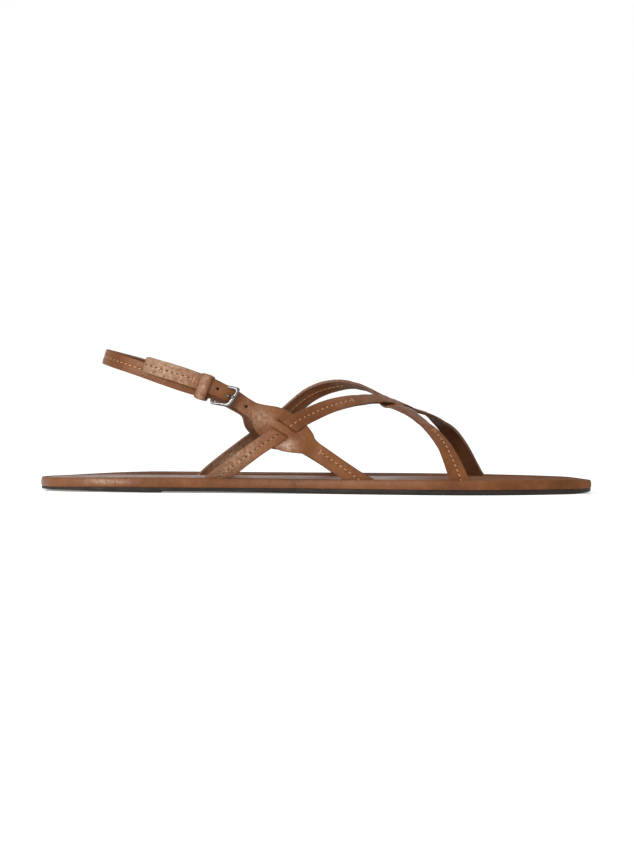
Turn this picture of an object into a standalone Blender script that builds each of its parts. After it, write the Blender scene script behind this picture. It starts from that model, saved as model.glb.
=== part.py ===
"""Strappy flat sandal for the right foot.

The toe points along +X, the inner side of the foot is +Y and the sole stands on Z = 0. Tables give
places as shares of the driving sizes: `along` of the length from the heel, `aside` of half the ball
width (minus is the outer side) and `up` of the instep height. All other sizes are in millimetres.
"""
from collections import namedtuple
from math import cos, pi, radians, sin, tau

import bmesh
import bpy
from mathutils import Vector

MM = 0.001

# Driving sizes
LENGTH = 252.0
BALL_WIDTH = 80.0
INSTEP_HEIGHT = 50.0
GAP = 0.3

# Sole, from the floor up
OUTSOLE_TOP = 2.4
OUTSOLE_WAIST_RISE = 0.4
HEEL_SEAT_RISE = 1.2
HEEL_LIFT_THICK = HEEL_SEAT_RISE - GAP
HEEL_LIFT_BEVEL = 0.45
MIDSOLE_HIGH = 4.0
ARCH_RISE = 1.1
TOE_SPRING = 0.3
INSOLE_SEAT_DEPTH = 0.6
INSOLE_INSET = 3.1
INSOLE_THICK = 0.8
INSOLE_CROWN = 0.3

# Where the sole's parts begin and end, as shares of the length
HEEL_BEVEL_START = 0.10
HEEL_LIFT_END = 0.222
WAIST_BACK = 0.30
WAIST_FRONT = 0.52
ARCH_BACK = -0.12
ARCH_BACK_RUN = 0.30
ARCH_FRONT = 0.66
ARCH_FRONT_RUN = 0.20
ARCH_SIDE_START = -0.3
TOE_SPRING_START = 0.86

# Stations round the sole, and how far they crowd to the heel and toe
SOLE_STATIONS = 36
END_CROWDING = 0.6
CAP_COLUMNS = (0.25, 0.5, 0.75)

# Straps
STRAP_WIDE = 7.6
STRAP_THICK = 1.6
STRAP_EDGE = 0.5
STRAP_STEP = 3.2
HEEL_STRAP_WIDE = 7.0
HEEL_STRAP_TILT = radians(17.0)
LEAF_WIDE = 16.8
LEAF_FLAT = 6.0
LEAF_REACH = 16.5
LEAF_SINK = 0.35
FOOT_LEVEL = 4.0
SLOT_TOP = 15.0
NOTCH_REACH = 4.0

# Buckle and keeper
BAR_THICK = 1.5
BAR_SIDES = 8
BUCKLE_HALF_WIDE = 5.2
BUCKLE_CORNER = 1.7
BUCKLE_BAR_ALONG = 0.349
BUCKLE_BAR_LIFT = 0.9
FOLD_WALL = 0.5
FOLD_SIDES = 14
PRONG_THICK = 1.2
PRONG_OVERHANG = 1.5
PRONG_HOLE = 2.2
PRONG_HOLE_SHIFT = 1.0
PRONG_HOLE_DEPTH = 5.0
KEEPER_ALONG = 0.2937
KEEPER_WIDE = 5.2
KEEPER_THICK = 1.1
KEEPER_CORNER = 0.4
KEEPER_CLEAR = 0.55

Outline = namedtuple("Outline", "along outer inner")
SOLE_OUTLINE = [
    Outline(0.012, 0.275, 0.275),
    Outline(0.040, 0.475, 0.475),
    Outline(0.100, 0.640, 0.640),
    Outline(0.180, 0.708, 0.705),
    Outline(0.280, 0.715, 0.695),
    Outline(0.400, 0.728, 0.655),
    Outline(0.500, 0.790, 0.665),
    Outline(0.600, 0.905, 0.780),
    Outline(0.680, 0.985, 0.915),
    Outline(0.750, 0.998, 0.998),
    Outline(0.820, 0.915, 0.972),
    Outline(0.880, 0.745, 0.880),
    Outline(0.930, 0.540, 0.735),
    Outline(0.970, 0.315, 0.530),
    Outline(0.991, 0.140, 0.350),
]
TOE_TIP_ASIDE = 0.110

# The last's axis: a strap's outer face looks away from it. `upright` is how far it looks upwards, and
# `fore` how far the instep there falls towards the toe
Axis = namedtuple("Axis", "along aside up upright fore")
LAST_AXIS = [
    Axis(0.00, 0.00, 0.10, 0.00, 0.00),
    Axis(0.34, 0.00, 0.16, 0.00, 0.00),
    Axis(0.44, 0.00, 0.28, 0.15, 0.00),
    Axis(0.53, -0.05, 0.40, 0.80, 0.20),
    Axis(0.59, 0.03, 0.34, 1.25, 0.40),
    Axis(0.64, 0.03, 0.20, 1.00, 0.50),
    Axis(0.70, 0.03, 0.16, 1.75, 0.50),
    Axis(0.80, 0.00, 0.04, 0.80, 0.50),
]

# Strap routes along the middle of the outer face; `wide` is a share of the strap's width
Strap = namedtuple("Strap", "along aside up wide")
OUTER_LEAF_STRAP = [
    Strap(0.190, -0.650, 1.158, 1.00),
    Strap(0.221, -0.703, 1.114, 1.00),
    Strap(0.250, -0.738, 1.072, 1.00),
    Strap(0.284, -0.762, 1.014, 1.00),
    Strap(0.312, -0.785, 0.958, 0.97),
    Strap(0.331, -0.757, 0.914, 0.96),
    Strap(0.349, -0.713, 0.868, 0.97),
    Strap(0.376, -0.720, 0.774, 1.00),
    Strap(0.444, -0.760, 0.572, 1.00),
    Strap(0.504, -0.785, 0.376, 1.00),
    Strap(0.558, -0.810, 0.194, 1.05),
    Strap(0.574, -0.818, 0.132, 1.12),
    Strap(0.605, -0.828, 0.010, 1.15),
]
OUTER_THREADED_STRAP = [
    Strap(0.296, -0.654, 0.010, 1.10),
    Strap(0.323, -0.668, 0.134, 1.08),
    Strap(0.390, -0.720, 0.394, 1.00),
    Strap(0.444, -0.758, 0.576, 1.00),
    Strap(0.470, -0.722, 0.666, 1.00),
    Strap(0.519, -0.588, 0.784, 1.00),
    Strap(0.562, -0.450, 0.844, 1.00),
    Strap(0.603, -0.225, 0.864, 1.00),
    Strap(0.639, 0.012, 0.836, 1.00),
    Strap(0.675, 0.212, 0.770, 1.00),
    Strap(0.709, 0.400, 0.700, 1.00),
    Strap(0.742, 0.612, 0.574, 1.00),
    Strap(0.769, 0.775, 0.400, 1.00),
    Strap(0.792, 0.900, 0.140, 1.05),
    Strap(0.802, 0.925, 0.010, 1.06),
]
INNER_THREADED_STRAP = [
    Strap(0.279, 0.628, 0.010, 1.10),
    Strap(0.305, 0.642, 0.146, 1.08),
    Strap(0.365, 0.690, 0.392, 1.00),
    Strap(0.424, 0.725, 0.612, 1.00),
    Strap(0.479, 0.638, 0.862, 1.00),
    Strap(0.505, 0.562, 0.942, 1.00),
    Strap(0.533, 0.450, 0.982, 1.00),
    Strap(0.560, 0.312, 0.990, 1.00),
    Strap(0.587, 0.200, 0.958, 1.00),
    Strap(0.639, 0.000, 0.836, 1.00),
    Strap(0.667, -0.262, 0.756, 0.97),
    Strap(0.698, -0.590, 0.634, 0.94),
    Strap(0.723, -0.765, 0.482, 0.97),
    Strap(0.739, -0.865, 0.332, 1.00),
    Strap(0.755, -0.940, 0.142, 1.06),
    Strap(0.768, -0.955, 0.010, 1.08),
]
INNER_LEAF_STRAP = [
    Strap(0.302, 0.750, 0.936, 1.00),
    Strap(0.349, 0.755, 0.834, 1.00),
    Strap(0.379, 0.745, 0.732, 1.00),
    Strap(0.421, 0.730, 0.586, 1.00),
    Strap(0.472, 0.712, 0.444, 1.00),
    Strap(0.520, 0.700, 0.300, 1.00),
    Strap(0.558, 0.682, 0.170, 1.10),
    Strap(0.588, 0.688, 0.010, 1.12),
]
HEEL_STRAP = [
    Strap(0.357, 0.698, 0.818, 1.00),
    Strap(0.302, 0.698, 0.934, 1.00),
    Strap(0.254, 0.682, 1.020, 1.00),
    Strap(0.214, 0.640, 1.088, 1.00),
    Strap(0.175, 0.552, 1.150, 1.00),
    Strap(0.143, 0.420, 1.194, 1.00),
    Strap(0.125, 0.225, 1.220, 1.00),
    Strap(0.119, 0.000, 1.228, 1.00),
    Strap(0.125, -0.225, 1.220, 1.00),
    Strap(0.143, -0.420, 1.192, 1.00),
    Strap(0.175, -0.556, 1.146, 1.00),
    Strap(0.214, -0.640, 1.084, 1.00),
    Strap(0.254, -0.680, 1.020, 1.00),
    Strap(0.282, -0.692, 0.976, 1.00),
    Strap(0.308, -0.698, 0.940, 1.00),
]

# Where two straps cross; one widens there to a leaf, `leaf` of its full width
Crossing = namedtuple("Crossing", "along aside up leaf")
OUTER_CROSSING = Crossing(0.438, -0.757, 0.590, 1.00)
INNER_CROSSING = Crossing(0.416, 0.731, 0.592, 0.86)
INSTEP_CROSSING = Crossing(0.639, 0.000, 0.836, 1.00)

# The prong's way out through the strap, from its start beside the buckle's hinge bar
ProngBend = namedtuple("ProngBend", "along out")
PRONG_BENDS = [
    ProngBend(0.0, 0.0),
    ProngBend(0.5, 1.7),
    ProngBend(1.6, 3.7),
]

Finish = namedtuple("Finish", "colour roughness metallic")
FINISHES = {
    "rubber_black": Finish((0.045, 0.040, 0.036), 0.75, 0.0),
    "leather_tan": Finish((0.270, 0.120, 0.062), 0.48, 0.0),
    "leather_sock": Finish((0.300, 0.160, 0.090), 0.42, 0.0),
    "metal_silver": Finish((0.560, 0.550, 0.540), 0.28, 1.0),
}


def clear_scene():
    for old in list(bpy.data.objects):
        bpy.data.objects.remove(old, do_unlink=True)


def finish_material(name):
    material = bpy.data.materials.new(name)
    material.use_nodes = True
    shader = material.node_tree.nodes["Principled BSDF"]
    finish = FINISHES[name]
    shader.inputs["Base Color"].default_value = (*finish.colour, 1.0)
    shader.inputs["Roughness"].default_value = finish.roughness
    shader.inputs["Metallic"].default_value = finish.metallic
    return material


def ease(share):
    """Smooth step from 0 to 1."""
    share = min(max(share, 0.0), 1.0)
    return share * share * (3.0 - 2.0 * share)


def between(rows, key):
    """A table's columns at a key between its rows, on smooth cubic curves."""
    last = len(rows) - 1
    low = next((i for i in range(last) if key <= rows[i + 1][0]), last - 1)
    a, b = rows[low], rows[low + 1]
    before = rows[max(low - 1, 0)]
    after = rows[min(low + 2, last)]
    span = b[0] - a[0]
    t = min(max((key - a[0]) / span, 0.0), 1.0)
    values = [key]
    for p, q, r, s in zip(before[1:], a[1:], b[1:], after[1:]):
        leave = (r - p) / (b[0] - before[0]) * span
        reach = (s - q) / (after[0] - a[0]) * span
        values.append(
            (2 * t**3 - 3 * t**2 + 1) * q
            + (t**3 - 2 * t**2 + t) * leave
            + (3 * t**2 - 2 * t**3) * r
            + (t**3 - t**2) * reach
        )
    return values


def along_x(along):
    return (along - 0.5) * LENGTH


def place(row):
    """A table row's point in millimetres."""
    return Vector((along_x(row.along), row.aside * BALL_WIDTH / 2, row.up * INSTEP_HEIGHT))


def trace(rows, step):
    """Points and widths at even steps along a strap's route."""
    keyed = []
    run = 0.0
    previous = None
    for row in rows:
        point = place(row)
        run += (point - previous).length if previous else 0.0
        keyed.append((run, *point, row.wide))
        previous = point
    count = max(round(run / step), 2)
    samples = [between(keyed, run * i / count) for i in range(count + 1)]
    return [Vector(s[1:4]) for s in samples], [s[4] for s in samples]


def tangents(points):
    ends = len(points) - 1
    return [(points[min(i + 1, ends)] - points[max(i - 1, 0)]).normalized() for i in range(ends + 1)]


def off_the_last(point, tangent):
    """Direction that a strap's outer face looks in on the last."""
    axis = Axis(*between(LAST_AXIS, point.x / LENGTH + 0.5))
    centre = place(axis)
    rise = max(point.z - centre.z, 0.0) * axis.upright
    return Vector((rise * axis.fore, point.y - centre.y, rise))


def round_the_heel(point, tangent):
    """Direction that the sling's outer face looks in: its width stands square to its sloping plane."""
    upright = Vector((sin(HEEL_STRAP_TILT), 0.0, cos(HEEL_STRAP_TILT)))
    return tangent.cross(upright)


def strap_frames(points, outward):
    """Across and outward directions at each point of a strap."""
    frames = []
    for point, tangent in zip(points, tangents(points)):
        out = outward(point, tangent)
        across = tangent.cross(out).normalized()
        frames.append((across, across.cross(tangent).normalized()))
    return frames


def strap_section(point, across, out, wide, thick, rise=0.0):
    """Closed ring of a strap with softened edges; its outer face lies at `rise`."""
    half = wide / 2
    edge = STRAP_EDGE
    corners = [
        (-half, edge - thick), (-half, -edge), (edge - half, 0.0), (half - edge, 0.0),
        (half, -edge), (half, edge - thick), (half - edge, -thick), (edge - half, -thick),
    ]
    return [point + across * a + out * (u + rise) for a, u in corners]


def leaf_share(point, crossing):
    """How far a strap has widened to its leaf: 1 at the crossing, 0 away from it."""
    distance = (point - place(crossing)).length
    return ease((LEAF_REACH - distance) / (LEAF_REACH - LEAF_FLAT))


def strap_rings(rows, crossing=None, width=STRAP_WIDE, outward=off_the_last):
    points, shares = trace(rows, STRAP_STEP)
    rings = []
    for point, share, frame in zip(points, shares, strap_frames(points, outward)):
        leaf = leaf_share(point, crossing) if crossing else 0.0
        wide = width * share
        if crossing:
            wide += (LEAF_WIDE * crossing.leaf - width) * leaf
        rings.append(strap_section(point, *frame, wide, STRAP_THICK, -LEAF_SINK * leaf))
    return rings


def slot_rings(rows, at_start, reach):
    """Rings of the slot that takes a strap's end, clear of it all round and `reach` wider outwards."""
    points, shares = trace(rows, STRAP_STEP)
    stations = list(zip(points, shares, strap_frames(points, off_the_last)))
    if not at_start:
        stations.reverse()
    rings = []
    for point, share, frame in stations:
        wide = STRAP_WIDE * share + 2 * GAP
        rings.append(strap_section(point, *frame, wide, STRAP_THICK + 2 * GAP + reach, GAP + reach))
        if point.z > SLOT_TOP:
            break
    return rings


def add_loft(mesh, rings, closed=False):
    """Skin a row of rings; open lofts get end caps and closed ones join end to start."""
    loops = [[mesh.verts.new(corner * MM) for corner in ring] for ring in rings]
    pairs = list(zip(loops, loops[1:]))
    if closed:
        pairs.append((loops[-1], loops[0]))
    for near, far in pairs:
        for i in range(len(near)):
            j = (i + 1) % len(near)
            mesh.faces.new((near[i], near[j], far[j], far[i]))
    if not closed:
        mesh.faces.new(reversed(loops[0]))
        mesh.faces.new(loops[-1])


def make_object(name, mesh, material=None):
    bmesh.ops.recalc_face_normals(mesh, faces=mesh.faces)
    data = bpy.data.meshes.new(name)
    mesh.to_mesh(data)
    mesh.free()
    data.shade_smooth()
    data.set_sharp_from_angle(angle=radians(40))
    piece = bpy.data.objects.new(name, data)
    bpy.context.collection.objects.link(piece)
    if material:
        data.materials.append(material)
    return piece


def loft_object(name, lofts, material=None, closed=False):
    mesh = bmesh.new()
    for rings in lofts:
        add_loft(mesh, rings, closed)
    return make_object(name, mesh, material)


def guide(piece):
    """Keep a piece only as a Boolean operand."""
    piece.hide_render = True
    piece.display_type = "WIRE"
    return piece


def combine(piece, other, operation):
    step = piece.modifiers.new(other.name, "BOOLEAN")
    step.operation = operation
    step.object = guide(other)
    step.solver = "EXACT"


def box(name, low, high):
    corners = [(low[0], low[1]), (high[0], low[1]), (high[0], high[1]), (low[0], high[1])]
    return loft_object(name, [[[Vector((x, y, z)) for x, y in corners] for z in (low[2], high[2])]])


def level_off(piece, name, level):
    """Cut away all of a piece below a level."""
    combine(piece, box(name, (-LENGTH, -LENGTH, -LENGTH), (LENGTH, LENGTH, level)), "DIFFERENCE")


# Sole

def outline_ring(inset):
    """Points round the sole, heel to toe on the outer side and back on the inner, moved inwards."""
    half = BALL_WIDTH / 2
    heel = Vector((along_x(0.0), 0.0))
    toe = Vector((along_x(1.0), TOE_TIP_ASIDE * half))
    outer = [Vector((along_x(row.along), -row.outer * half)) for row in SOLE_OUTLINE]
    inner = [Vector((along_x(row.along), row.inner * half)) for row in SOLE_OUTLINE]
    sides = [[inner[0], heel, *outer, toe, inner[-1]], [outer[-1], toe, *reversed(inner), heel, outer[0]]]
    ring = []
    for side in sides:
        keyed = []
        run = 0.0
        for i, point in enumerate(side):
            run += (point - side[i - 1]).length if i else 0.0
            keyed.append((run, point.x, point.y))
        start, stop = keyed[1][0], keyed[-2][0]
        for i in range(SOLE_STATIONS):
            even = i / SOLE_STATIONS
            share = END_CROWDING * (1.0 - cos(pi * even)) / 2 + (1.0 - END_CROWDING) * even
            ring.append(Vector(between(keyed, start + (stop - start) * share)[1:]))
    moved = []
    for i, point in enumerate(ring):
        run = (ring[(i + 1) % len(ring)] - ring[i - 1]).normalized()
        moved.append(point + Vector((-run.y, run.x)) * inset)
    return moved


def run_share(x, start, run):
    """Eases from 0 to 1 over a run of the length that starts at `start`; a minus run goes back."""
    return ease((x / LENGTH + 0.5 - start) / run)


def arch(x, y):
    """Lift of the inner side through the waist, and the toe's spring."""
    hump = run_share(x, ARCH_FRONT, -ARCH_FRONT_RUN) * run_share(x, ARCH_BACK, ARCH_BACK_RUN)
    inner = ease(y / (BALL_WIDTH / 2) - ARCH_SIDE_START)
    spring = max(x / LENGTH + 0.5 - TOE_SPRING_START, 0.0) / (1.0 - TOE_SPRING_START)
    return ARCH_RISE * hump * inner + TOE_SPRING * spring**2


def outsole_bottom(x, y):
    return OUTSOLE_WAIST_RISE * run_share(x, WAIST_FRONT, WAIST_BACK - WAIST_FRONT) + arch(x, y)


def outsole_top(x, y):
    return OUTSOLE_TOP + arch(x, y)


def midsole_bottom(x, y):
    return outsole_top(x, y) + GAP


def insole_bottom(x, y):
    return midsole_bottom(x, y) + MIDSOLE_HIGH - INSOLE_SEAT_DEPTH + GAP


def heel_lift_bottom(x, y):
    return HEEL_LIFT_BEVEL * run_share(x, HEEL_BEVEL_START, -HEEL_BEVEL_START)


def heel_lift_top(x, y):
    return HEEL_LIFT_THICK


# A loop of a sheet's edge: how far inside the outline, and its lift above a surface
Layer = namedtuple("Layer", "inset surface lift")
OUTSOLE_LAYERS = [
    Layer(0.90, outsole_bottom, 0.0),
    Layer(0.35, outsole_top, -1.8),
    Layer(0.35, outsole_top, 0.0),
]
HEEL_LIFT_LAYERS = [
    Layer(0.9, heel_lift_bottom, 0.0),
    Layer(0.4, heel_lift_top, 0.0),
]
MIDSOLE_LAYERS = [
    Layer(0.7, midsole_bottom, 0.0),
    Layer(0.1, midsole_bottom, 0.6),
    Layer(0.0, midsole_bottom, 2.0),
    Layer(0.2, midsole_bottom, 3.2),
    Layer(0.8, midsole_bottom, 3.8),
    Layer(1.6, midsole_bottom, MIDSOLE_HIGH),
    Layer(2.3, midsole_bottom, MIDSOLE_HIGH - 0.1),
    Layer(2.7, midsole_bottom, MIDSOLE_HIGH - INSOLE_SEAT_DEPTH),
]
INSOLE_LAYERS = [
    Layer(INSOLE_INSET, insole_bottom, 0.0),
    Layer(INSOLE_INSET, insole_bottom, 0.5),
    Layer(INSOLE_INSET + 0.5, insole_bottom, INSOLE_THICK),
]


def cap_rows(layer, crown):
    """Rows of points across a flat side of a sheet, from its outer edge to its inner edge."""
    ring = outline_ring(layer.inset)
    rows = []
    for k in range(1, len(ring) // 2):
        row = []
        for share in CAP_COLUMNS:
            x, y = ring[k].lerp(ring[-k], share)
            row.append(Vector((x, y, layer.surface(x, y) + layer.lift + crown * sin(pi * share))))
        rows.append(row)
    return rows


def add_cap(mesh, edge, rows):
    """Close a side of a sheet between its edge loop and the rows of points across it."""
    count = len(edge) // 2
    inner = [[mesh.verts.new(corner * MM) for corner in row] for row in rows]
    strips = [[edge[k], *inner[k - 1], edge[-k]] for k in range(1, count)]
    for near, far in zip(strips, strips[1:]):
        for i in range(len(near) - 1):
            mesh.faces.new((near[i], near[i + 1], far[i + 1], far[i]))
    for tip, strip in ((edge[0], strips[0]), (edge[count], strips[-1])):
        for i in range(len(strip) - 1):
            mesh.faces.new((tip, strip[i], strip[i + 1]))


def sole_sheet(name, layers, material, crown=0.0):
    """A sheet of the sole: its edge loops from the underside to the top, with both flat sides closed."""
    mesh = bmesh.new()
    loops = []
    for layer in layers:
        points = [Vector((x, y, layer.surface(x, y) + layer.lift)) for x, y in outline_ring(layer.inset)]
        loops.append([mesh.verts.new(point * MM) for point in points])
    for near, far in zip(loops, loops[1:]):
        for i in range(len(near)):
            j = (i + 1) % len(near)
            mesh.faces.new((near[i], near[j], far[j], far[i]))
    add_cap(mesh, loops[0], cap_rows(layers[0], 0.0))
    add_cap(mesh, loops[-1], cap_rows(layers[-1], crown))
    return make_object(name, mesh, material)


def build_sole(rubber, leather, sock):
    far = LENGTH
    breast = along_x(HEEL_LIFT_END)
    outsole = sole_sheet("outsole", OUTSOLE_LAYERS, rubber)
    combine(outsole, box("heel_seat", (-far, -far, -far), (breast, far, HEEL_SEAT_RISE)), "DIFFERENCE")
    lift = sole_sheet("heel_lift", HEEL_LIFT_LAYERS, rubber)
    combine(lift, box("heel_end", (-far, -far, -far), (breast - GAP, far, far)), "INTERSECT")
    midsole = sole_sheet("midsole", MIDSOLE_LAYERS, leather)
    combine(midsole, build_slots("strap_slots", 0.0), "DIFFERENCE")
    insole = sole_sheet("insole", INSOLE_LAYERS, sock, INSOLE_CROWN)
    combine(insole, build_slots("strap_notches", NOTCH_REACH), "DIFFERENCE")


# Straps

def build_slots(name, reach):
    ends = [
        (OUTER_LEAF_STRAP, False), (OUTER_THREADED_STRAP, True), (OUTER_THREADED_STRAP, False),
        (INNER_THREADED_STRAP, True), (INNER_THREADED_STRAP, False), (INNER_LEAF_STRAP, False),
    ]
    slots = loft_object(name, [slot_rings(rows, start, reach) for rows, start in ends])
    level_off(slots, name + "_floor", FOOT_LEVEL - GAP)
    return guide(slots)


def build_upper(leather, prong_hole):
    upper = loft_object("upper", [strap_rings(OUTER_LEAF_STRAP, OUTER_CROSSING)], leather)
    others = [
        ("outer_threaded_strap", OUTER_THREADED_STRAP, None),
        ("inner_threaded_strap", INNER_THREADED_STRAP, INSTEP_CROSSING),
        ("inner_leaf_strap", INNER_LEAF_STRAP, INNER_CROSSING),
    ]
    for name, rows, crossing in others:
        combine(upper, loft_object(name, [strap_rings(rows, crossing)]), "UNION")
    combine(upper, prong_hole, "DIFFERENCE")
    level_off(upper, "strap_feet", FOOT_LEVEL)


def at_share(points, along):
    """The point of a route nearest to a share of the length."""
    return min(points, key=lambda p: abs(p.x - along_x(along)))


class BuckleFrame:
    """Directions and places at the buckle: along the strap to the toe, across it and outwards."""

    def __init__(self):
        points, _ = trace(HEEL_STRAP, STRAP_STEP)
        across, out = strap_frames(points, round_the_heel)[-1]
        self.run = tangents(points)[-1]
        self.across = across
        self.out = out
        bar_radius = BAR_THICK / 2
        self.fold_hole = bar_radius + GAP
        self.fold_outer = self.fold_hole + FOLD_WALL
        self.hinge = points[-1] + self.run * (self.fold_outer - FOLD_WALL / 2) - out * (STRAP_THICK / 2)
        under_bar = at_share(trace(OUTER_LEAF_STRAP, 1.0)[0], BUCKLE_BAR_ALONG)
        off_strap = off_the_last(under_bar, self.run).normalized()
        self.outer_bar = under_bar + off_strap * (BUCKLE_BAR_LIFT + bar_radius)


def tube_rings(centre, axis, first, second, half, inner, outer):
    """Rings of a short tube along `axis`, for a closed loft."""
    def ring(shift, radius):
        turns = [tau * i / FOLD_SIDES for i in range(FOLD_SIDES)]
        return [centre + axis * shift + (first * cos(t) + second * sin(t)) * radius for t in turns]
    return [ring(-half, outer), ring(half, outer), ring(half, inner), ring(-half, inner)]


def build_heel_strap(leather, buckle):
    rings = strap_rings(HEEL_STRAP, None, HEEL_STRAP_WIDE, round_the_heel)
    strap = loft_object("heel_strap", [rings], leather)
    fold = loft_object(
        "buckle_fold",
        [tube_rings(buckle.hinge, buckle.across, buckle.run, buckle.out, HEEL_STRAP_WIDE / 2,
                    buckle.fold_hole, buckle.fold_outer)], closed=True)
    combine(strap, fold, "UNION")


def rounded_loop(half_long, half_wide, corner, steps=4):
    """Places round a rectangle with round corners, as (along, across)."""
    places = []
    for quarter, (sx, sy) in enumerate(((1, 1), (-1, 1), (-1, -1), (1, -1))):
        for i in range(steps + 1):
            turn = (quarter + i / steps) * pi / 2
            places.append((sx * (half_long - corner) + corner * cos(turn),
                           sy * (half_wide - corner) + corner * sin(turn)))
    return places


def round_bar(centre, first, second, thick):
    """Ring of points round a bar."""
    turns = [tau * (i + 0.5) / BAR_SIDES for i in range(BAR_SIDES)]
    return [centre + (first * cos(t) + second * sin(t)) * thick / 2 for t in turns]


def build_buckle(metal, buckle):
    centre = (buckle.hinge + buckle.outer_bar) / 2
    run = (buckle.outer_bar - buckle.hinge).normalized()
    out = buckle.across.cross(run).normalized()
    half_long = (buckle.outer_bar - buckle.hinge).length / 2
    rings = []
    for along, aside in rounded_loop(half_long, BUCKLE_HALF_WIDE, BUCKLE_CORNER):
        middle = centre + run * along + buckle.across * aside
        inward = (run * -along + buckle.across * -aside * half_long / BUCKLE_HALF_WIDE).normalized()
        rings.append(round_bar(middle, inward, out, BAR_THICK))
    loft_object("buckle_frame", [rings], metal, closed=True)


def prong_places(buckle):
    """Prong from beside the hinge bar, up through the strap's hole, over the outer bar."""
    clear = BAR_THICK / 2 + GAP + PRONG_THICK / 2
    run = (buckle.outer_bar - buckle.hinge).normalized()
    out = buckle.across.cross(run).normalized()
    long = (buckle.outer_bar - buckle.hinge).length
    start = buckle.hinge + run * (buckle.fold_outer + GAP + PRONG_THICK / 2)
    places = [start + run * bend.along + out * bend.out for bend in PRONG_BENDS]
    places.append(buckle.hinge + run * long + out * clear)
    places.append(buckle.hinge + run * (long + PRONG_OVERHANG) + out * clear)
    return places


def build_prong(metal, buckle):
    places = prong_places(buckle)
    rings = []
    for point, tangent in zip(places, tangents(places)):
        out = buckle.across.cross(tangent).normalized()
        rings.append(round_bar(point, buckle.across, out, PRONG_THICK))
    loft_object("buckle_prong", [rings], metal)


def build_prong_hole(buckle):
    """Cutter of the strap's hole for the prong."""
    places = prong_places(buckle)
    centre = (places[0] + places[1]) / 2
    corners = rounded_loop(PRONG_HOLE, PRONG_HOLE / 2, PRONG_HOLE / 2 - 0.1)
    middle = centre + buckle.run * PRONG_HOLE_SHIFT
    rings = []
    for level in (-PRONG_HOLE_DEPTH, PRONG_HOLE_DEPTH):
        rings.append([middle + buckle.run * a + buckle.across * c + buckle.out * level for a, c in corners])
    return guide(loft_object("prong_hole", [rings]))


def build_keeper(leather):
    """Loop round the heel strap and the tail that lies on it, just behind the buckle."""
    tail, _ = trace(OUTER_LEAF_STRAP, 1.0)
    sling, _ = trace(HEEL_STRAP, 1.0)
    over = at_share(tail, KEEPER_ALONG)
    under = at_share([point for point in sling if point.y < 0.0], KEEPER_ALONG)
    run = tangents(tail)[tail.index(over)]
    out = off_the_last(over, run).normalized()
    across = run.cross(out).normalized()
    out = across.cross(run)
    low = under - out * STRAP_THICK
    centre = (over + low) / 2
    half_out = (over - low).dot(out) / 2 + KEEPER_CLEAR
    spread = abs((over - under).dot(across))
    half_wide = (STRAP_WIDE + HEEL_STRAP_WIDE) / 4 + spread / 2 + KEEPER_CLEAR

    def ring(shift, grow):
        loop = rounded_loop(half_wide + grow, half_out + grow, KEEPER_CORNER + grow)
        return [centre + run * shift + across * a + out * o for a, o in loop]
    half = KEEPER_WIDE / 2
    rings = [ring(-half, KEEPER_THICK), ring(half, KEEPER_THICK), ring(half, 0.0), ring(-half, 0.0)]
    loft_object("keeper_loop", [rings], leather, closed=True)


def build():
    clear_scene()
    materials = {name: finish_material(name) for name in FINISHES}
    buckle = BuckleFrame()
    build_sole(materials["rubber_black"], materials["leather_tan"], materials["leather_sock"])
    build_upper(materials["leather_tan"], build_prong_hole(buckle))
    build_heel_strap(materials["leather_tan"], buckle)
    build_keeper(materials["leather_tan"])
    build_buckle(materials["metal_silver"], buckle)
    build_prong(materials["metal_silver"], buckle)


build()
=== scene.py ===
from collections import namedtuple
from math import cos, exp, pi, radians, sin, tau

import bmesh
import bpy
from mathutils import Matrix, Vector


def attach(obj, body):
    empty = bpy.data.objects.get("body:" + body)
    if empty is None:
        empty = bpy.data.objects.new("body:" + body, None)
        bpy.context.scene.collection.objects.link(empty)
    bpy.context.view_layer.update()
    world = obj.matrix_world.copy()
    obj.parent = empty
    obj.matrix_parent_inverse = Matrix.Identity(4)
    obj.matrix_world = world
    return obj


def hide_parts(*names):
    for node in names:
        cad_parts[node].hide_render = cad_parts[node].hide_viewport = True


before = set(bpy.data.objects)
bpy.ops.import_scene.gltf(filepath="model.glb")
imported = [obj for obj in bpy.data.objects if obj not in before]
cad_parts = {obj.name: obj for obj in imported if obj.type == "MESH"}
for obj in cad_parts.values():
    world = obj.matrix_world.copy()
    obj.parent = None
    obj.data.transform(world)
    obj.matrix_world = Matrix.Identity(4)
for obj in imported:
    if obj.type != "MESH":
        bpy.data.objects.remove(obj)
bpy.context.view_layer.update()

MM = 0.001

# Corners nearer to each other than this, in millimetres, become one
MERGE_GAP = 0.002

# Faces that meet at more than this angle show a sharp edge; the footbed and its sock are rounder
SHARP = radians(40)
ROUND_SHARP = radians(60)

# Driving sizes in millimetres; tables give shares of these, as in the part's own frame
LENGTH = 252.0
BALL_WIDTH = 80.0
BALL_HALF = BALL_WIDTH / 2
INSTEP_HEIGHT = 50.0

# Sole, from the floor up
OUTSOLE_TOP = 2.4
OUTSOLE_WAIST_RISE = 0.7
TOE_SPRING = 0.7
HEEL_SEAT_RISE = 1.2
HEEL_LIFT_BEVEL = 1.1
FOOTBED_SINK = 0.1
FOOTBED_HIGH = 4.4
ARCH_RISE = 1.1
TOP_ARCH_RISE = 1.35
TOE_DROP = 0.10
HEEL_DROP = 0.45
SOCK_SEAT_DEPTH = 0.9
SOCK_INSET = 3.1
SOCK_THICK = 0.72
SOCK_CROWN = 0.25
SOCK_RAISE = 0.33
SOCK_FALL = 1.6
SOCK_SUNK = 0.1
TIP_THIN = 0.15
WAIST_THIN = 0.10
SOCK_FULL_CROWN = 36.0

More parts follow.
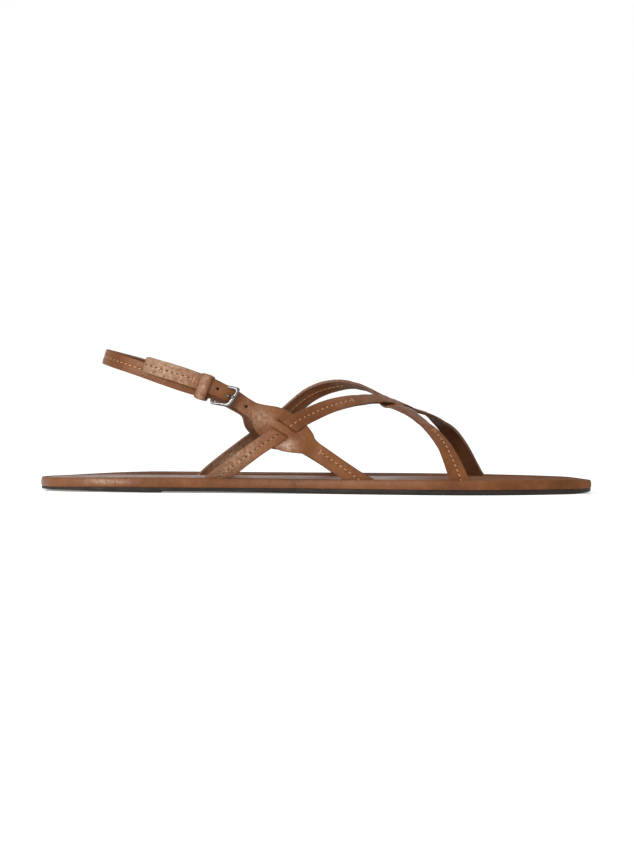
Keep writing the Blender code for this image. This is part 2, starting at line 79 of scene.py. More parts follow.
# Where the sole's parts begin and end, as shares of the length
HEEL_BEVEL_START = 0.20
HEEL_LIFT_END = 0.222
WAIST_BACK = 0.30
WAIST_FRONT = 0.56
ARCH_BACK = -0.12
ARCH_BACK_RUN = 0.30
ARCH_FRONT = 0.66
ARCH_FRONT_RUN = 0.20
TOP_ARCH_BACK = 0.02
TOP_ARCH_BACK_RUN = 0.20
TOP_ARCH_FRONT = 1.15
TOP_ARCH_FRONT_RUN = 0.70
TOE_DROP_START = 0.86
TOE_TIP_START = 0.955
HEEL_DROP_END = 0.13

# Where the arch starts across the sole, as a share of half its width
ARCH_SIDE_START = -0.3

# How far the wall swells over a strap's end, at what height up the wall, and how far the swelling goes
SLOT_SWELL = 0.22
SLOT_SWELL_LIFT = 3.2
SLOT_SWELL_HIGH = 1.2
SLOT_SWELL_RUN = 5.0

# How finely the sole is divided along its sides and round its edges, and the run of its step at the heel
SOLE_STATIONS = 90
END_CROWDING = 0.6
EDGE_STEPS = 2
BREAST_STEP = 0.05

# Straps
STRAP_WIDE = 7.6
STRAP_THICK = 1.35
SLING_WIDE = 7.0
SLING_TILT = radians(17.0)
ROUTE_STEP = 1.0
ROW_STEP = 0.95
FOOT_LEVEL = 4.0
STRAP_CROWN = 0.22
SEAM_GROOVE = 0.22
SEAM_GROOVE_WIDE = 0.55
SEAM_GROOVE_PAST = 1.0
SEAM_GROOVE_FADE = 1.5
TAIL_CORNER = 1.6
TAIL_CORNER_CUT = 0.20

# Columns across half a strap: even ones over the leaf's middle band, then closer ones to the edge
BAND_HALF = 1.95
BAND_COLUMNS = 3
BAND_MARGIN = 0.05
EDGE_SHARES = (0.24, 0.47, 0.67, 0.83, 0.94, 1.0)
EDGE_ROLL = (0.0, 0.0, 0.0, 0.02, 0.07, 0.20)
COLUMNS = BAND_COLUMNS + len(EDGE_SHARES)

# Weave: how far straps rise or sink where they pass each other, and how soon they are level again
BAND_RISE = 0.35
THREADED_RISE = 0.5
THREADED_SINK = 1.0
WEAVE_THICK = 1.2
WEAVE_SOFT = 0.75
SLIT_HALF = 4.3
SLIT_OPEN = 0.10
SLIT_END_OPEN = 0.10
SLIT_TOLERANCE = 0.01
PRESS_FULL = 4.1
PRESS_NONE = 6.0
LEAF_EDGE = 8.2
LEAF_LEVEL = 12.5
WEAVE_REACH = 1.5 * LEAF_LEVEL
# Painted shade on the leaf beside the threaded strap's lower edge: how far off the threaded strap's
# middle line, how wide and how dark
TUCK_OFF = 4.3
TUCK_WIDE = 0.75
TUCK_DARK = 0.85

# Where a slit's end opens wider and closes again, as shares of half its length from the middle
SLIT_WIDENS = 0.55
SLIT_WIDENS_RUN = 0.25
SLIT_CLOSES_RUN = 0.2

# Stitches, and how far their beads stand off the leather
STITCH_PITCH = 2.5
STITCH_LONG = 1.85
STITCH_WIDE = 0.40
STITCH_HIGH = 0.34
STITCH_LIFT = 0.06
STITCH_SLANT = radians(9.0)
BACK_THREAD_WIDE = 0.22
CROSS_BAR_LONG = 3.4
CROSS_BAR_LIFT = 0.08
# Dark beads of painted shade where the needle holes are, longer where the thread is pulled in
NEEDLE_HOLE_WIDE = 0.62
NEEDLE_HOLE_HIGH = 0.16
NEEDLE_HOLE_LIFT = 0.03
PULLED_SUNK = 0.1
PULLED_HOLE_LONG = 1.35
BEAD_SIDES = 8
BEAD_RINGS = 4

# Holes for the prong: their radius, where along the shoe they are, and the dark disc in each, painted
# shade seen through them
PUNCHED_HOLE = 0.62
PUNCHED_HOLES = (-44.4, -31.8)
HOLE_SHADE_WIDE = 2.1 * PUNCHED_HOLE
HOLE_SHADE_DEPTH = 1.15

# Buckle and keeper; the fold's start and turn are degrees round the hinge bar, from straight outwards
BAR_THICK = 1.7
BAR_SIDES = 12
BAR_WIDENING = 0.35
BUCKLE_HALF_WIDE = 4.3
BUCKLE_CORNER = 1.7
BUCKLE_BAR_ALONG = 0.3515
BUCKLE_BAR_LIFT = 0.9
FOLD_RADIUS = 1.5
FOLD_THICK = 0.5
FOLD_WIDE = 5.8
FOLD_START = -30
FOLD_TURN = 240
FOLD_STEPS = 16
FOLD_COLUMNS = 8
HINGE_IN_FOLD = 0.85
PRONG_THICK = 1.2
PRONG_OVERHANG = 1.0
PRONG_CLEAR = 0.15
KEEPER_ALONG = 0.2995
KEEPER_WIDE = 5.6
KEEPER_THICK = 1.1
KEEPER_CORNER = 1.2
KEEPER_CLEAR = 0.3
KEEPER_SPREAD_SHARE = 0.2
KEEPER_BULGE = 0.35
KEEPER_COLUMNS = 8

# Studio: where the white sweep ends and the ceiling starts, as the height of a direction
SWEEP_TOP = 0.14
CEILING_START = 0.42
CEILING = 0.5
FLOOR_GLOW = 0.28
FLOOR_HALF = 20000.0

# Key light: a soft box to the left of the camera, in metres; and a soft light from above
KEY_SPOT = (-0.72, -0.93, 0.43)
KEY_SIZE = 0.35
KEY_POWER = 10.5
TOP_SPOT = (0.0, 0.0, 2.0)
TOP_POWER = 1.0
TOP_ANGLE = 60.0

# Camera: where it stands and what it frames
CAMERA_DISTANCE = 1600.0
CAMERA_PITCH = radians(0.9)
CAMERA_ROLL = radians(0.35)
CAMERA_TARGET_UP = 31.6
CAMERA_SEES_TO = 100.0
FRAME_HIGH = 386.5
SENSOR = 36.0

Outline = namedtuple("Outline", "along outer inner")
SOLE_OUTLINE = [
    Outline(0.012, 0.275, 0.275),
    Outline(0.040, 0.475, 0.475),
    Outline(0.100, 0.640, 0.640),
    Outline(0.180, 0.708, 0.705),
    Outline(0.280, 0.715, 0.695),
    Outline(0.400, 0.728, 0.655),
    Outline(0.500, 0.790, 0.665),
    Outline(0.600, 0.905, 0.780),
    Outline(0.680, 0.985, 0.915),
    Outline(0.750, 0.998, 0.998),
    Outline(0.820, 0.915, 0.972),
    Outline(0.880, 0.745, 0.880),
    Outline(0.930, 0.540, 0.735),
    Outline(0.970, 0.315, 0.530),
    Outline(0.991, 0.140, 0.350),
]
TOE_TIP_ASIDE = 0.110

# The last's axis: a strap's outer face looks away from it. `upright` is how far it looks upwards, and
# `fore` how far the instep there falls towards the toe
Axis = namedtuple("Axis", "along aside up upright fore")
LAST_AXIS = [
    Axis(0.00, 0.00, 0.10, 0.00, 0.00),
    Axis(0.34, 0.00, 0.16, 0.00, 0.00),
    Axis(0.44, 0.00, 0.28, 0.15, 0.00),
    Axis(0.53, -0.05, 0.40, 0.80, 0.20),
    Axis(0.59, 0.03, 0.34, 1.25, 0.40),
    Axis(0.615, 0.08, 0.27, 1.10, 0.45),
    Axis(0.64, 0.30, 0.20, 1.00, 0.50),
    Axis(0.67, 0.35, 0.18, 1.40, 0.58),
    Axis(0.70, 0.08, 0.16, 1.75, 0.64),
    Axis(0.80, 0.00, 0.04, 0.80, 0.50),
]

# The same on the inner side, where the toe strap turns from flat on top to upright sooner
INNER_AXIS = [
    *LAST_AXIS[:5],
    Axis(0.64, 0.03, 0.20, 1.00, 0.50),
    Axis(0.70, 0.03, 0.16, 2.50, 0.62),
    Axis(0.722, 0.03, 0.14, 1.45, 0.57),
    Axis(0.747, 0.03, 0.11, 0.85, 0.52),
    Axis(0.80, 0.00, 0.04, 0.60, 0.50),
]
INNER_BLEND = 6.0

# Where the strap ends go into the footbed, as shares of the length
OUTER_FEET = (0.298, 0.600, 0.765)
INNER_FEET = (0.281, 0.583, 0.802)

# Strap routes along the middle of the outer face; `wide` is a share of the strap's width
Strap = namedtuple("Strap", "along aside up wide", defaults=(1.0,))
OUTER_LEAF_STRAP = [
    Strap(0.190, -0.650, 1.158),
    Strap(0.221, -0.703, 1.114),
    Strap(0.250, -0.738, 1.072),
    Strap(0.284, -0.762, 1.014),
    Strap(0.312, -0.785, 0.962, 0.97),
    Strap(0.331, -0.757, 0.920, 0.90),
    Strap(0.349, -0.713, 0.873, 0.90),
    Strap(0.376, -0.720, 0.774),
    Strap(0.444, -0.760, 0.572),
    Strap(0.502, -0.785, 0.374),
    Strap(0.555, -0.810, 0.192),
    Strap(0.571, -0.818, 0.132, 1.10),
    Strap(0.605, -0.828, 0.010, 1.40),
]
OUTER_THREADED_STRAP = [
    Strap(0.296, -0.654, 0.010, 1.10),
    Strap(0.323, -0.668, 0.134, 1.08),
    Strap(0.390, -0.720, 0.394),
    Strap(0.444, -0.758, 0.576),
    Strap(0.470, -0.722, 0.666),
    Strap(0.519, -0.588, 0.784),
    Strap(0.562, -0.450, 0.844),
    Strap(0.603, -0.225, 0.864),
    Strap(0.639, 0.012, 0.836),
    Strap(0.675, 0.212, 0.770),
    Strap(0.709, 0.400, 0.712, 1.02),
    Strap(0.7385, 0.612, 0.586, 1.12),
    Strap(0.7650, 0.775, 0.400, 1.10),
    Strap(0.792, 0.900, 0.140, 1.14),
    Strap(0.807, 0.925, 0.010, 1.32),
]
INNER_THREADED_STRAP = [
    Strap(0.279, 0.628, 0.010, 1.10),
    Strap(0.305, 0.642, 0.146, 1.08),
    Strap(0.365, 0.690, 0.392),
    Strap(0.424, 0.725, 0.612),
    Strap(0.479, 0.638, 0.856, 1.03),
    Strap(0.505, 0.562, 0.933, 1.06),
    Strap(0.533, 0.450, 0.979, 1.06),
    Strap(0.560, 0.312, 0.994, 1.03),
    Strap(0.587, 0.200, 0.967),
    Strap(0.639, 0.000, 0.836),
    Strap(0.6655, -0.262, 0.751, 0.97),
    Strap(0.6980, -0.590, 0.627, 0.93),
    Strap(0.7233, -0.765, 0.476, 0.97),
    Strap(0.738, -0.865, 0.332, 1.05),
    Strap(0.753, -0.940, 0.142, 1.14),
    Strap(0.765, -0.955, 0.010, 1.18),
]
INNER_LEAF_STRAP = [
    Strap(0.302, 0.750, 0.920),
    Strap(0.346, 0.755, 0.806),
    Strap(0.377, 0.745, 0.714),
    Strap(0.4185, 0.730, 0.570),
    Strap(0.469, 0.712, 0.428),
    Strap(0.517, 0.700, 0.284),
    Strap(0.555, 0.682, 0.154, 1.10),
    Strap(0.585, 0.688, 0.010, 1.12),
]
HEEL_SLING = [
    Strap(0.357, 0.698, 0.802),
    Strap(0.302, 0.698, 0.916),
    Strap(0.254, 0.682, 1.010),
    Strap(0.212, 0.640, 1.088),
    Strap(0.171, 0.552, 1.150),
    Strap(0.138, 0.420, 1.194),
    Strap(0.119, 0.225, 1.220),
    Strap(0.113, 0.000, 1.228),
    Strap(0.119, -0.225, 1.218),
    Strap(0.138, -0.420, 1.186),
    Strap(0.171, -0.556, 1.134),
    Strap(0.212, -0.640, 1.062),
    Strap(0.254, -0.680, 0.990),
    Strap(0.282, -0.692, 0.944, 0.95),
    Strap(0.3105, -0.698, 0.902, 0.84),
]

# Where two straps cross; `leaf` is a share of the widened strap's full width, `droop` is how far
# its edges hang round the foot, and `sink` how far it is pressed in under the threaded strap
Crossing = namedtuple("Crossing", "along aside up leaf droop sink")
OUTER_CROSSING = Crossing(0.438, -0.757, 0.590, 1.00, 0.5, 1.2)
INNER_CROSSING = Crossing(0.413, 0.731, 0.582, 0.97, 0.5, 1.1)
INSTEP_CROSSING = Crossing(0.639, 0.000, 0.836, 0.86, 1.25, 0.75)

# Half widths of the leaf by the distance from its crossing, minus towards the heel: `high` is its edge
# towards the toe and `low` the one towards the heel
Leaf = namedtuple("Leaf", "run high low")
LEAF_SHAPE = [
    Leaf(-19.0, 3.80, 3.80),
    Leaf(-16.0, 3.90, 3.75),
    Leaf(-13.5, 4.60, 4.10),
    Leaf(-11.6, 5.30, 6.10),
    Leaf(-9.3, 6.20, 7.60),
    Leaf(-6.5, 7.30, 8.30),
    Leaf(-2.0, 8.10, 9.30),
    Leaf(2.0, 7.95, 9.60),
    Leaf(5.0, 7.80, 9.10),
    Leaf(8.0, 7.40, 8.00),
    Leaf(12.8, 5.80, 5.40),
    Leaf(14.8, 4.35, 4.25),
    Leaf(18.0, 3.80, 3.80),
]

# Rows of stitches along a strap, from and to a share of the length; a cross bar may lock an end. `sunk`
# is how deep the thread lies in its groove, `back` whether it shows on the inner face, and `aside` how
# far the row lies off the strap's middle
Seam = namedtuple(
    "Seam", "start stop bar_start bar_stop sunk back aside", defaults=(False, False, 0.0, False, 0.0))
OUTER_LEAF_SEAMS = [
    Seam(0.194, 0.2815, bar_stop=True, sunk=0.11),
    Seam(0.503, 0.586, bar_start=True, aside=0.65),
]
OUTER_THREADED_SEAMS = [
    Seam(0.318, 0.4300, sunk=0.13),
    Seam(0.4515, 0.5630, bar_stop=True, sunk=0.06),
    Seam(0.7000, 0.7900, bar_start=True, sunk=0.05),
]
INNER_THREADED_SEAMS = [
    Seam(0.300, 0.4080, sunk=0.10),
    Seam(0.430, 0.5500, bar_stop=True, sunk=0.06, back=True),
    Seam(0.7075, 0.7600, bar_start=True, aside=0.65),
]
INNER_LEAF_SEAMS = [
    Seam(0.306, 0.352, bar_start=True, sunk=0.06),
    Seam(0.486, 0.570, bar_start=True),
]

# The sling's row runs its whole length, but for these distances at its inner and outer end
SLING_SEAM = Seam(0.0, 1.0, sunk=0.08, back=True)
SLING_SEAM_START = 14.0
SLING_SEAM_END = 3.0

# Creases that wear has pressed across the straps: where, how deep and wide, and how far they lean
Crease = namedtuple("Crease", "along depth wide lean")
OUTER_LEAF_CREASES = [
    Crease(0.312, -0.25, 2.4, 0.0),
    Crease(0.364, 0.35, 2.2, 0.1),
    Crease(0.392, -0.30, 2.6, 0.5),
    Crease(0.478, -0.22, 2.4, -0.4),
    Crease(0.497, 0.28, 1.8, -0.3),
]
OUTER_THREADED_CREASES = [
    Crease(0.355, 0.16, 1.5, 0.2),
    Crease(0.372, -0.14, 1.6, 0.2),
    Crease(0.400, 0.18, 1.4, 0.2),
    Crease(0.480, 0.24, 1.7, -0.2),
    Crease(0.580, 0.22, 2.2, 0.2),
    Crease(0.725, 0.20, 2.2, 0.0),
]
INNER_THREADED_CREASES = [
    Crease(0.350, 0.20, 1.6, 0.2),
    Crease(0.450, 0.26, 2.0, -0.2),
    Crease(0.575, 0.25, 2.4, 0.2),
    Crease(0.690, 0.20, 2.0, 0.2),
    Crease(0.728, -0.14, 1.8, 0.0),
]
INNER_LEAF_CREASES = [Crease(0.365, 0.30, 2.2, 0.1), Crease(0.480, 0.25, 2.0, -0.3)]

# Places with a painted sheen: where along and aside, how long and wide in millimetres, how pale
# the painted sheen is, and how strongly fine ribs cross them
SheenAndRibs = namedtuple("SheenAndRibs", "along aside long wide shine ribs")
OUTER_LEAF_SHEEN_AND_RIBS = [
    SheenAndRibs(0.232, 0.0, 15.0, 9.0, 0.95, 0.2),
    SheenAndRibs(0.404, -0.5, 5.0, 4.5, 0.70, 0.1),
    SheenAndRibs(0.462, -5.5, 3.6, 3.2, 1.30, 0.1),
]
OUTER_THREADED_SHEEN_AND_RIBS = [
    SheenAndRibs(0.362, 0.8, 13.0, 3.6, 0.85, 1.0),
    SheenAndRibs(0.600, 0.0, 9.0, 4.0, 0.15, 0.3),
]
INNER_THREADED_SHEEN_AND_RIBS = [
    SheenAndRibs(0.340, -0.8, 12.0, 3.6, 0.5, 1.0),
    SheenAndRibs(0.560, 0.0, 8.0, 4.0, 0.25, 0.4),
]
INNER_LEAF_SHEEN_AND_RIBS = [
    SheenAndRibs(0.385, 0.5, 5.0, 4.5, 0.5, 0.1),
    SheenAndRibs(0.435, 5.0, 4.0, 3.0, 0.6, 0.1),
]
# Painted highlight along the middle of the keeper's band
KEEPER_SHINE = 0.8

# Painted sheen on the footbed's wall in the same way, by the height up the wall
WallSheen = namedtuple("WallSheen", "along long lift high shine")
WALL_SHEEN = [
    WallSheen(0.128, 9.0, 2.4, 1.0, 1.1),
    WallSheen(0.420, 30.0, 2.6, 1.0, 0.15),
    WallSheen(0.640, 14.0, 2.9, 1.0, 0.12),
]


def ease(share):
    """Smooth step from 0 to 1."""
    share = min(max(share, 0.0), 1.0)
    return share * share * (3.0 - 2.0 * share)


def bell(off, wide):
    """Smooth hump: 1 in its middle, and next to nothing a few widths off."""
    return exp(-((off / wide) ** 2))


def between(rows, key):
    """A table's columns at a key between its rows, on smooth cubic curves."""
    last = len(rows) - 1
    low = next((i for i in range(last) if key <= rows[i + 1][0]), last - 1)
    a, b = rows[low], rows[low + 1]
    before = rows[max(low - 1, 0)]
    after = rows[min(low + 2, last)]
    span = b[0] - a[0]
    t = min(max((key - a[0]) / span, 0.0), 1.0)
    values = [key]
    for p, q, r, s in zip(before[1:], a[1:], b[1:], after[1:]):
        leave = (r - p) / (b[0] - before[0]) * span
        reach = (s - q) / (after[0] - a[0]) * span
        values.append(
            (2 * t**3 - 3 * t**2 + 1) * q
            + (t**3 - 2 * t**2 + t) * leave
            + (3 * t**2 - 2 * t**3) * r
            + (t**3 - t**2) * reach
        )
    return values


def along_x(along):
    return (along - 0.5) * LENGTH


def place(row):
    """A table row's point in millimetres."""
    return Vector((along_x(row.along), row.aside * BALL_HALF, row.up * INSTEP_HEIGHT))


def run_lengths(points):
    """The distance along a line of points to each of them."""
    runs = [0.0]
    for before, point in zip(points, points[1:]):
        runs.append(runs[-1] + (point - before).length)
    return runs


def off_axis(rows, point):
    """Direction from the last's axis to a point, turned upwards as the table says."""
    axis = Axis(*between(rows, point.x / LENGTH + 0.5))
    centre = place(axis)
    rise = max(point.z - centre.z, 0.0) * axis.upright
    return Vector((rise * axis.fore, point.y - centre.y, rise))


def off_the_last(point, run):
    """Direction that a strap's outer face looks in on the last."""
    inner = ease((point.y + INNER_BLEND) / (2 * INNER_BLEND))
    return off_axis(LAST_AXIS, point).lerp(off_axis(INNER_AXIS, point), inner)


def round_the_heel(point, run):
    """Direction that the sling's outer face looks in: its width stands square to its sloping plane."""
    return run.cross(Vector((sin(SLING_TILT), 0.0, cos(SLING_TILT))))


Station = namedtuple("Station", "point run side out wide")


class Route:
    """A strap's way over the foot, with the directions of its outer face at even steps."""

    def __init__(self, rows, outward=off_the_last):
        places = [place(row) for row in rows]
        runs = run_lengths(places)
        keyed = [(run, *point, row.wide) for run, point, row in zip(runs, places, rows)]
        self.length = runs[-1]
        last = round(self.length / ROUTE_STEP)
        samples = [between(keyed, self.length * i / last) for i in range(last + 1)]
        points = [Vector(sample[1:4]) for sample in samples]
        self.step = self.length / last
        self.stations = []
        for i, point in enumerate(points):
            way = (points[min(i + 1, last)] - points[max(i - 1, 0)]).normalized()
            side = outward(point, way).cross(way).normalized()
            self.stations.append(Station(point, way, side, way.cross(side), samples[i][4]))

    def at(self, run):
        """The station at a distance along the route."""
        steps = min(max(run / self.step, 0.0), len(self.stations) - 1.001)
        low = int(steps)
        share = steps - low
        a, b = self.stations[low], self.stations[low + 1]
        middle = [p.lerp(q, share) for p, q in zip(a[:4], b[:4])]
        return Station(*middle, a.wide + (b.wide - a.wide) * share)

    def run_at(self, point):
        """The distance along the route to its place nearest to a point."""
        gaps = [(station.point - point).length for station in self.stations]
        return gaps.index(min(gaps)) * self.step

    def run_at_x(self, x):
        gaps = [abs(station.point.x - x) for station in self.stations]
        return gaps.index(min(gaps)) * self.step

    def run_along(self, along):
        """The distance along the route to a share of the shoe's length."""
        return self.run_at_x(along_x(along))


class Weave:
    """A crossing: the threaded strap runs over the leaf's flanks and under its middle band."""

    def __init__(self, crossing, leaf, threaded):
        self.centre = place(crossing)
        self.leaf_share = crossing.leaf
        self.droop = crossing.droop
        self.sink = crossing.sink
        self.leaf_run = leaf.run_at(self.centre)
        self.leaf_way = leaf.at(self.leaf_run)
        self.threaded_way = threaded.at(threaded.run_at(self.centre))

    def off_leaf_axis(self, point):
        return abs((point - self.centre).dot(self.leaf_way.side))

    def near(self, point):
        return (point - self.centre).length < WEAVE_REACH

    def threaded_lift(self, point):
        if not self.near(point):
            return 0.0
        off = self.off_leaf_axis(point)
        under = ease((BAND_HALF + WEAVE_SOFT - off) / (2 * WEAVE_SOFT))
        level = ease((LEAF_LEVEL - off) / (LEAF_LEVEL - LEAF_EDGE))
        return THREADED_RISE * (1.0 - under) * level - THREADED_SINK * under

    def press(self, point):
        """How far the threaded strap holds the leaf down or its band up at a point."""
        if not self.near(point):
            return 0.0
        off = abs((point - self.centre).dot(self.threaded_way.side))
        return ease((PRESS_NONE - off) / (PRESS_NONE - PRESS_FULL))

    def thinned(self, point):
        """Share of a strap's thickness that is left where two straps are pressed together."""
        reach = ease((LEAF_LEVEL - (point - self.centre).length) / (LEAF_LEVEL - LEAF_EDGE))
        return 1.0 - reach * (1.0 - WEAVE_THICK / STRAP_THICK)

    def leaf_half(self, run, half, side):
        """Half width of the leaf strap on one side, widened near its crossing."""
        off = run - self.leaf_run
        if not LEAF_SHAPE[0].run < off < LEAF_SHAPE[-1].run:
            return half
        wide = between(LEAF_SHAPE, off)[1 if side * self.leaf_way.side.x > 0 else 2]
        return half + (wide - LEAF_SHAPE[0].high) * self.leaf_share

    def tucked(self, point):
        """How near a place on the leaf is to the threaded strap's lower edge, where shade is painted on
        it.
        """
        side = self.threaded_way.side
        off = (point - self.centre).dot(side) * (-1.0 if side.z > 0 else 1.0)
        return bell(off - TUCK_OFF, TUCK_WIDE) if self.near(point) else 0.0

    def leaf_droop(self, run, aside):
        """How far the leaf's edges hang round the foot."""
        near = ease((LEAF_SHAPE[-1].run - abs(run - self.leaf_run)) / LEAF_SHAPE[-1].run)
        return self.droop * near * (aside / LEAF_EDGE) ** 2


def close_seams(mesh):
    """Merge a closed shape's seams and poles, and turn its faces outwards."""
    bmesh.ops.remove_doubles(mesh, verts=mesh.verts, dist=MERGE_GAP)
    bmesh.ops.recalc_face_normals(mesh, faces=mesh.faces)


def make_piece(name, mesh, materials, sharp=SHARP):
    """Finish a mesh in millimetres as an object in the frame."""
    bmesh.ops.scale(mesh, vec=(MM, MM, MM), verts=mesh.verts)
    data = bpy.data.meshes.new(name)
    mesh.to_mesh(data)
    mesh.free()
    data.shade_smooth()
    if sharp:
        data.set_sharp_from_angle(angle=sharp)
    piece = bpy.data.objects.new(name, data)
    bpy.context.collection.objects.link(piece)
    for material in materials:
        data.materials.append(material)
    return piece


def mount(piece, slot, *nodes):
    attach(piece, "root")
    if nodes:
        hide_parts(*nodes)


def bent_grid(mesh, rows, columns, where):
    """Add a grid to a mesh and move its corner (row, column) to where(row, column)."""
    made = bmesh.ops.create_grid(mesh, x_segments=rows, y_segments=columns, size=0.5)
    corners = []
    for vert in made["verts"]:
        row = round((vert.co.x + 0.5) * rows)
        column = round((vert.co.y + 0.5) * columns)
        vert.co = where(row, column)
        corners.append((vert, row, column))
    return corners


# Sole

def outline_ring(inset):
    """Points round the sole, heel to toe on the outer side and back on the inner, moved inwards."""
    half = BALL_HALF
    heel = Vector((along_x(0.0), 0.0))
    toe = Vector((along_x(1.0), TOE_TIP_ASIDE * half))
    outer = [Vector((along_x(row.along), -row.outer * half)) for row in SOLE_OUTLINE]
    inner = [Vector((along_x(row.along), row.inner * half)) for row in SOLE_OUTLINE]
    sides = [[inner[0], heel, *outer, toe, inner[-1]], [outer[-1], toe, *reversed(inner), heel, outer[0]]]
    ring = []
    for side in sides:
        keyed = [(run, point.x, point.y) for run, point in zip(run_lengths(side), side)]
        start, stop = keyed[1][0], keyed[-2][0]
        for i in range(SOLE_STATIONS):
            even = i / SOLE_STATIONS
            share = END_CROWDING * (1.0 - cos(pi * even)) / 2 + (1.0 - END_CROWDING) * even
            ring.append(Vector(between(keyed, start + (stop - start) * share)[1:]))
    moved = []
    for i, point in enumerate(ring):
        run = (ring[(i + 1) % len(ring)] - ring[i - 1]).normalized()
        moved.append(point + Vector((-run.y, run.x)) * inset)
    return moved


def run_share(x, start, run):
    """Eases from 0 to 1 over a run of the length that starts at `start`; a minus run goes back."""
    return ease((x / LENGTH + 0.5 - start) / run)


def inner_side(y):
    """Share of the arch's rise across the sole: none on the outer side and all of it on the inner."""
    return ease(y / BALL_HALF - ARCH_SIDE_START)


def outsole_bottom(x, y):
    """Underside: lifted at the waist, and more so on its inner side."""
    waist = OUTSOLE_WAIST_RISE * run_share(x, WAIST_FRONT, WAIST_BACK - WAIST_FRONT)
    hump = run_share(x, ARCH_FRONT, -ARCH_FRONT_RUN) * run_share(x, ARCH_BACK, ARCH_BACK_RUN)
    spring = TOE_SPRING * run_share(x, TOE_TIP_START, 1.0 - TOE_TIP_START)
    return waist + ARCH_RISE * hump * inner_side(y) + spring


def top_arch(x):
    """Share of the arch's full rise along the footbed."""
    front = run_share(x, TOP_ARCH_FRONT, -TOP_ARCH_FRONT_RUN)
    return front * run_share(x, TOP_ARCH_BACK, TOP_ARCH_BACK_RUN)


def footbed_bottom(x, y):
    """Where rubber and footbed meet: the inner side is higher, and heel and toe fall a little."""
    rise = TOP_ARCH_RISE * top_arch(x) * inner_side(y)
    toe = TOE_DROP * run_share(x, TOE_DROP_START, 1.0 - TOE_DROP_START)
    heel = HEEL_DROP * run_share(x, HEEL_DROP_END, -HEEL_DROP_END)
    return OUTSOLE_TOP - FOOTBED_SINK + rise - toe - heel


def footbed_share(x, y):
    """Share of the footbed's full height: it is thinner at the toe's tip and the outer waist."""
    tip = TIP_THIN * run_share(x, TOE_TIP_START, 1.0 - TOE_TIP_START)
    hump = run_share(x, WAIST_BACK, WAIST_FRONT - WAIST_BACK) * run_share(x, ARCH_FRONT, -ARCH_FRONT_RUN)
    return 1.0 - tip - WAIST_THIN * hump * ease(-y / BALL_HALF)


def full_height(x, y):
    return 1.0


def sock_bottom(x, y):
    """The sock lies in the footbed, more level than its rim: above it outside and below it inside."""
    fall = SOCK_FALL * inner_side(y)
    level = top_arch(x) * (SOCK_RAISE - fall)
    return footbed_bottom(x, y) + FOOTBED_HIGH * footbed_share(x, y) - SOCK_SEAT_DEPTH + level


def heel_lift_bottom(x, y):
    return HEEL_LIFT_BEVEL * max(HEEL_BEVEL_START - x / LENGTH - 0.5, 0.0) / HEEL_BEVEL_START


def heel_lift_top(x, y):
    return HEEL_SEAT_RISE


# A ring of a sheet: how far inside the outline, its lift above a surface, how much painted shade darkens
# it there, and how far the ring has closed in on the sheet's middle line
Ring = namedtuple("Ring", "inset surface lift shade closed", defaults=(0.0, 0.0))
CLOSING = (0.04, 0.1, 0.2, 0.4, 0.6, 0.8, 1.0)


def edge_rings(surface, profile):
    """Rings round a sheet's edge, on a smooth curve through (inset, lift, shade) rows."""
    rows = [(float(i), *row) for i, row in enumerate(profile)]
    rings = []
    for i in range((len(rows) - 1) * EDGE_STEPS + 1):
        inset, lift, shade = between(rows, i / EDGE_STEPS)[1:]
        rings.append(Ring(inset, surface, lift, shade))
    return rings


def closed_over(ring):
    """Rings that close a flat side from its edge ring to the middle line."""
    return [ring._replace(closed=share, shade=0.0) for share in CLOSING]


def slot_swell(x, y):
    """How far the wall swells where a strap's end is tucked in behind it."""
    feet = OUTER_FEET if y < 0.0 else INNER_FEET
    return SLOT_SWELL * sum(bell(x - along_x(foot), SLOT_SWELL_RUN) for foot in feet)


def sole_sheet(rings, crown=0.0, swelling=None, share=full_height, sheen_patches=()):
    """One sheet of the sole, from the middle of its underside round its edge to the middle of its top."""
    rings = [*reversed(closed_over(rings[0])), *rings, *closed_over(rings[-1])]
    outlines = {ring.inset: outline_ring(ring.inset) for ring in rings}
    outward = [edge - inside for edge, inside in zip(outline_ring(0.0), outline_ring(1.0))]
    top = rings[-1].lift

    def corner(row, column):
        ring = rings[row]
        loop = outlines[ring.inset]
        near = loop[column % len(loop)]
        far = loop[-column % len(loop)]
        x, y = near.lerp(far, ring.closed / 2)
        if swelling and ring.closed == 0.0:
            swell = slot_swell(x, y) * bell(ring.lift - swelling, SLOT_SWELL_HIGH)
            x, y = Vector((x, y)) + outward[column % len(loop)] * swell
        z = ring.surface(x, y) + ring.lift * share(x, y)
        if ring.lift == top:
            z += crown * ease((near - far).length / SOCK_FULL_CROWN) * sin(pi * ring.closed / 2)
        return Vector((x, y, z))

    mesh = bmesh.new()
    groove = mesh.verts.layers.float.new("groove")
    shine = mesh.verts.layers.float.new("shine")
    for vert, row, column in bent_grid(mesh, len(rings) - 1, 2 * SOLE_STATIONS, corner):
        # Painted shade along the sole's steps and grooves, from the rings' shade column
        vert[groove] = rings[row].shade
        # Painted highlight on the footbed's wall, from its sheen patches
        for patch in sheen_patches:
            along = (vert.co.x - along_x(patch.along)) / patch.long
            up = (rings[row].lift - patch.lift) / patch.high
            vert[shine] += patch.shine * exp(-Vector((along, up)).length_squared)
    close_seams(mesh)
    return mesh


def all_geometry(mesh):
    return [*mesh.verts, *mesh.edges, *mesh.faces]


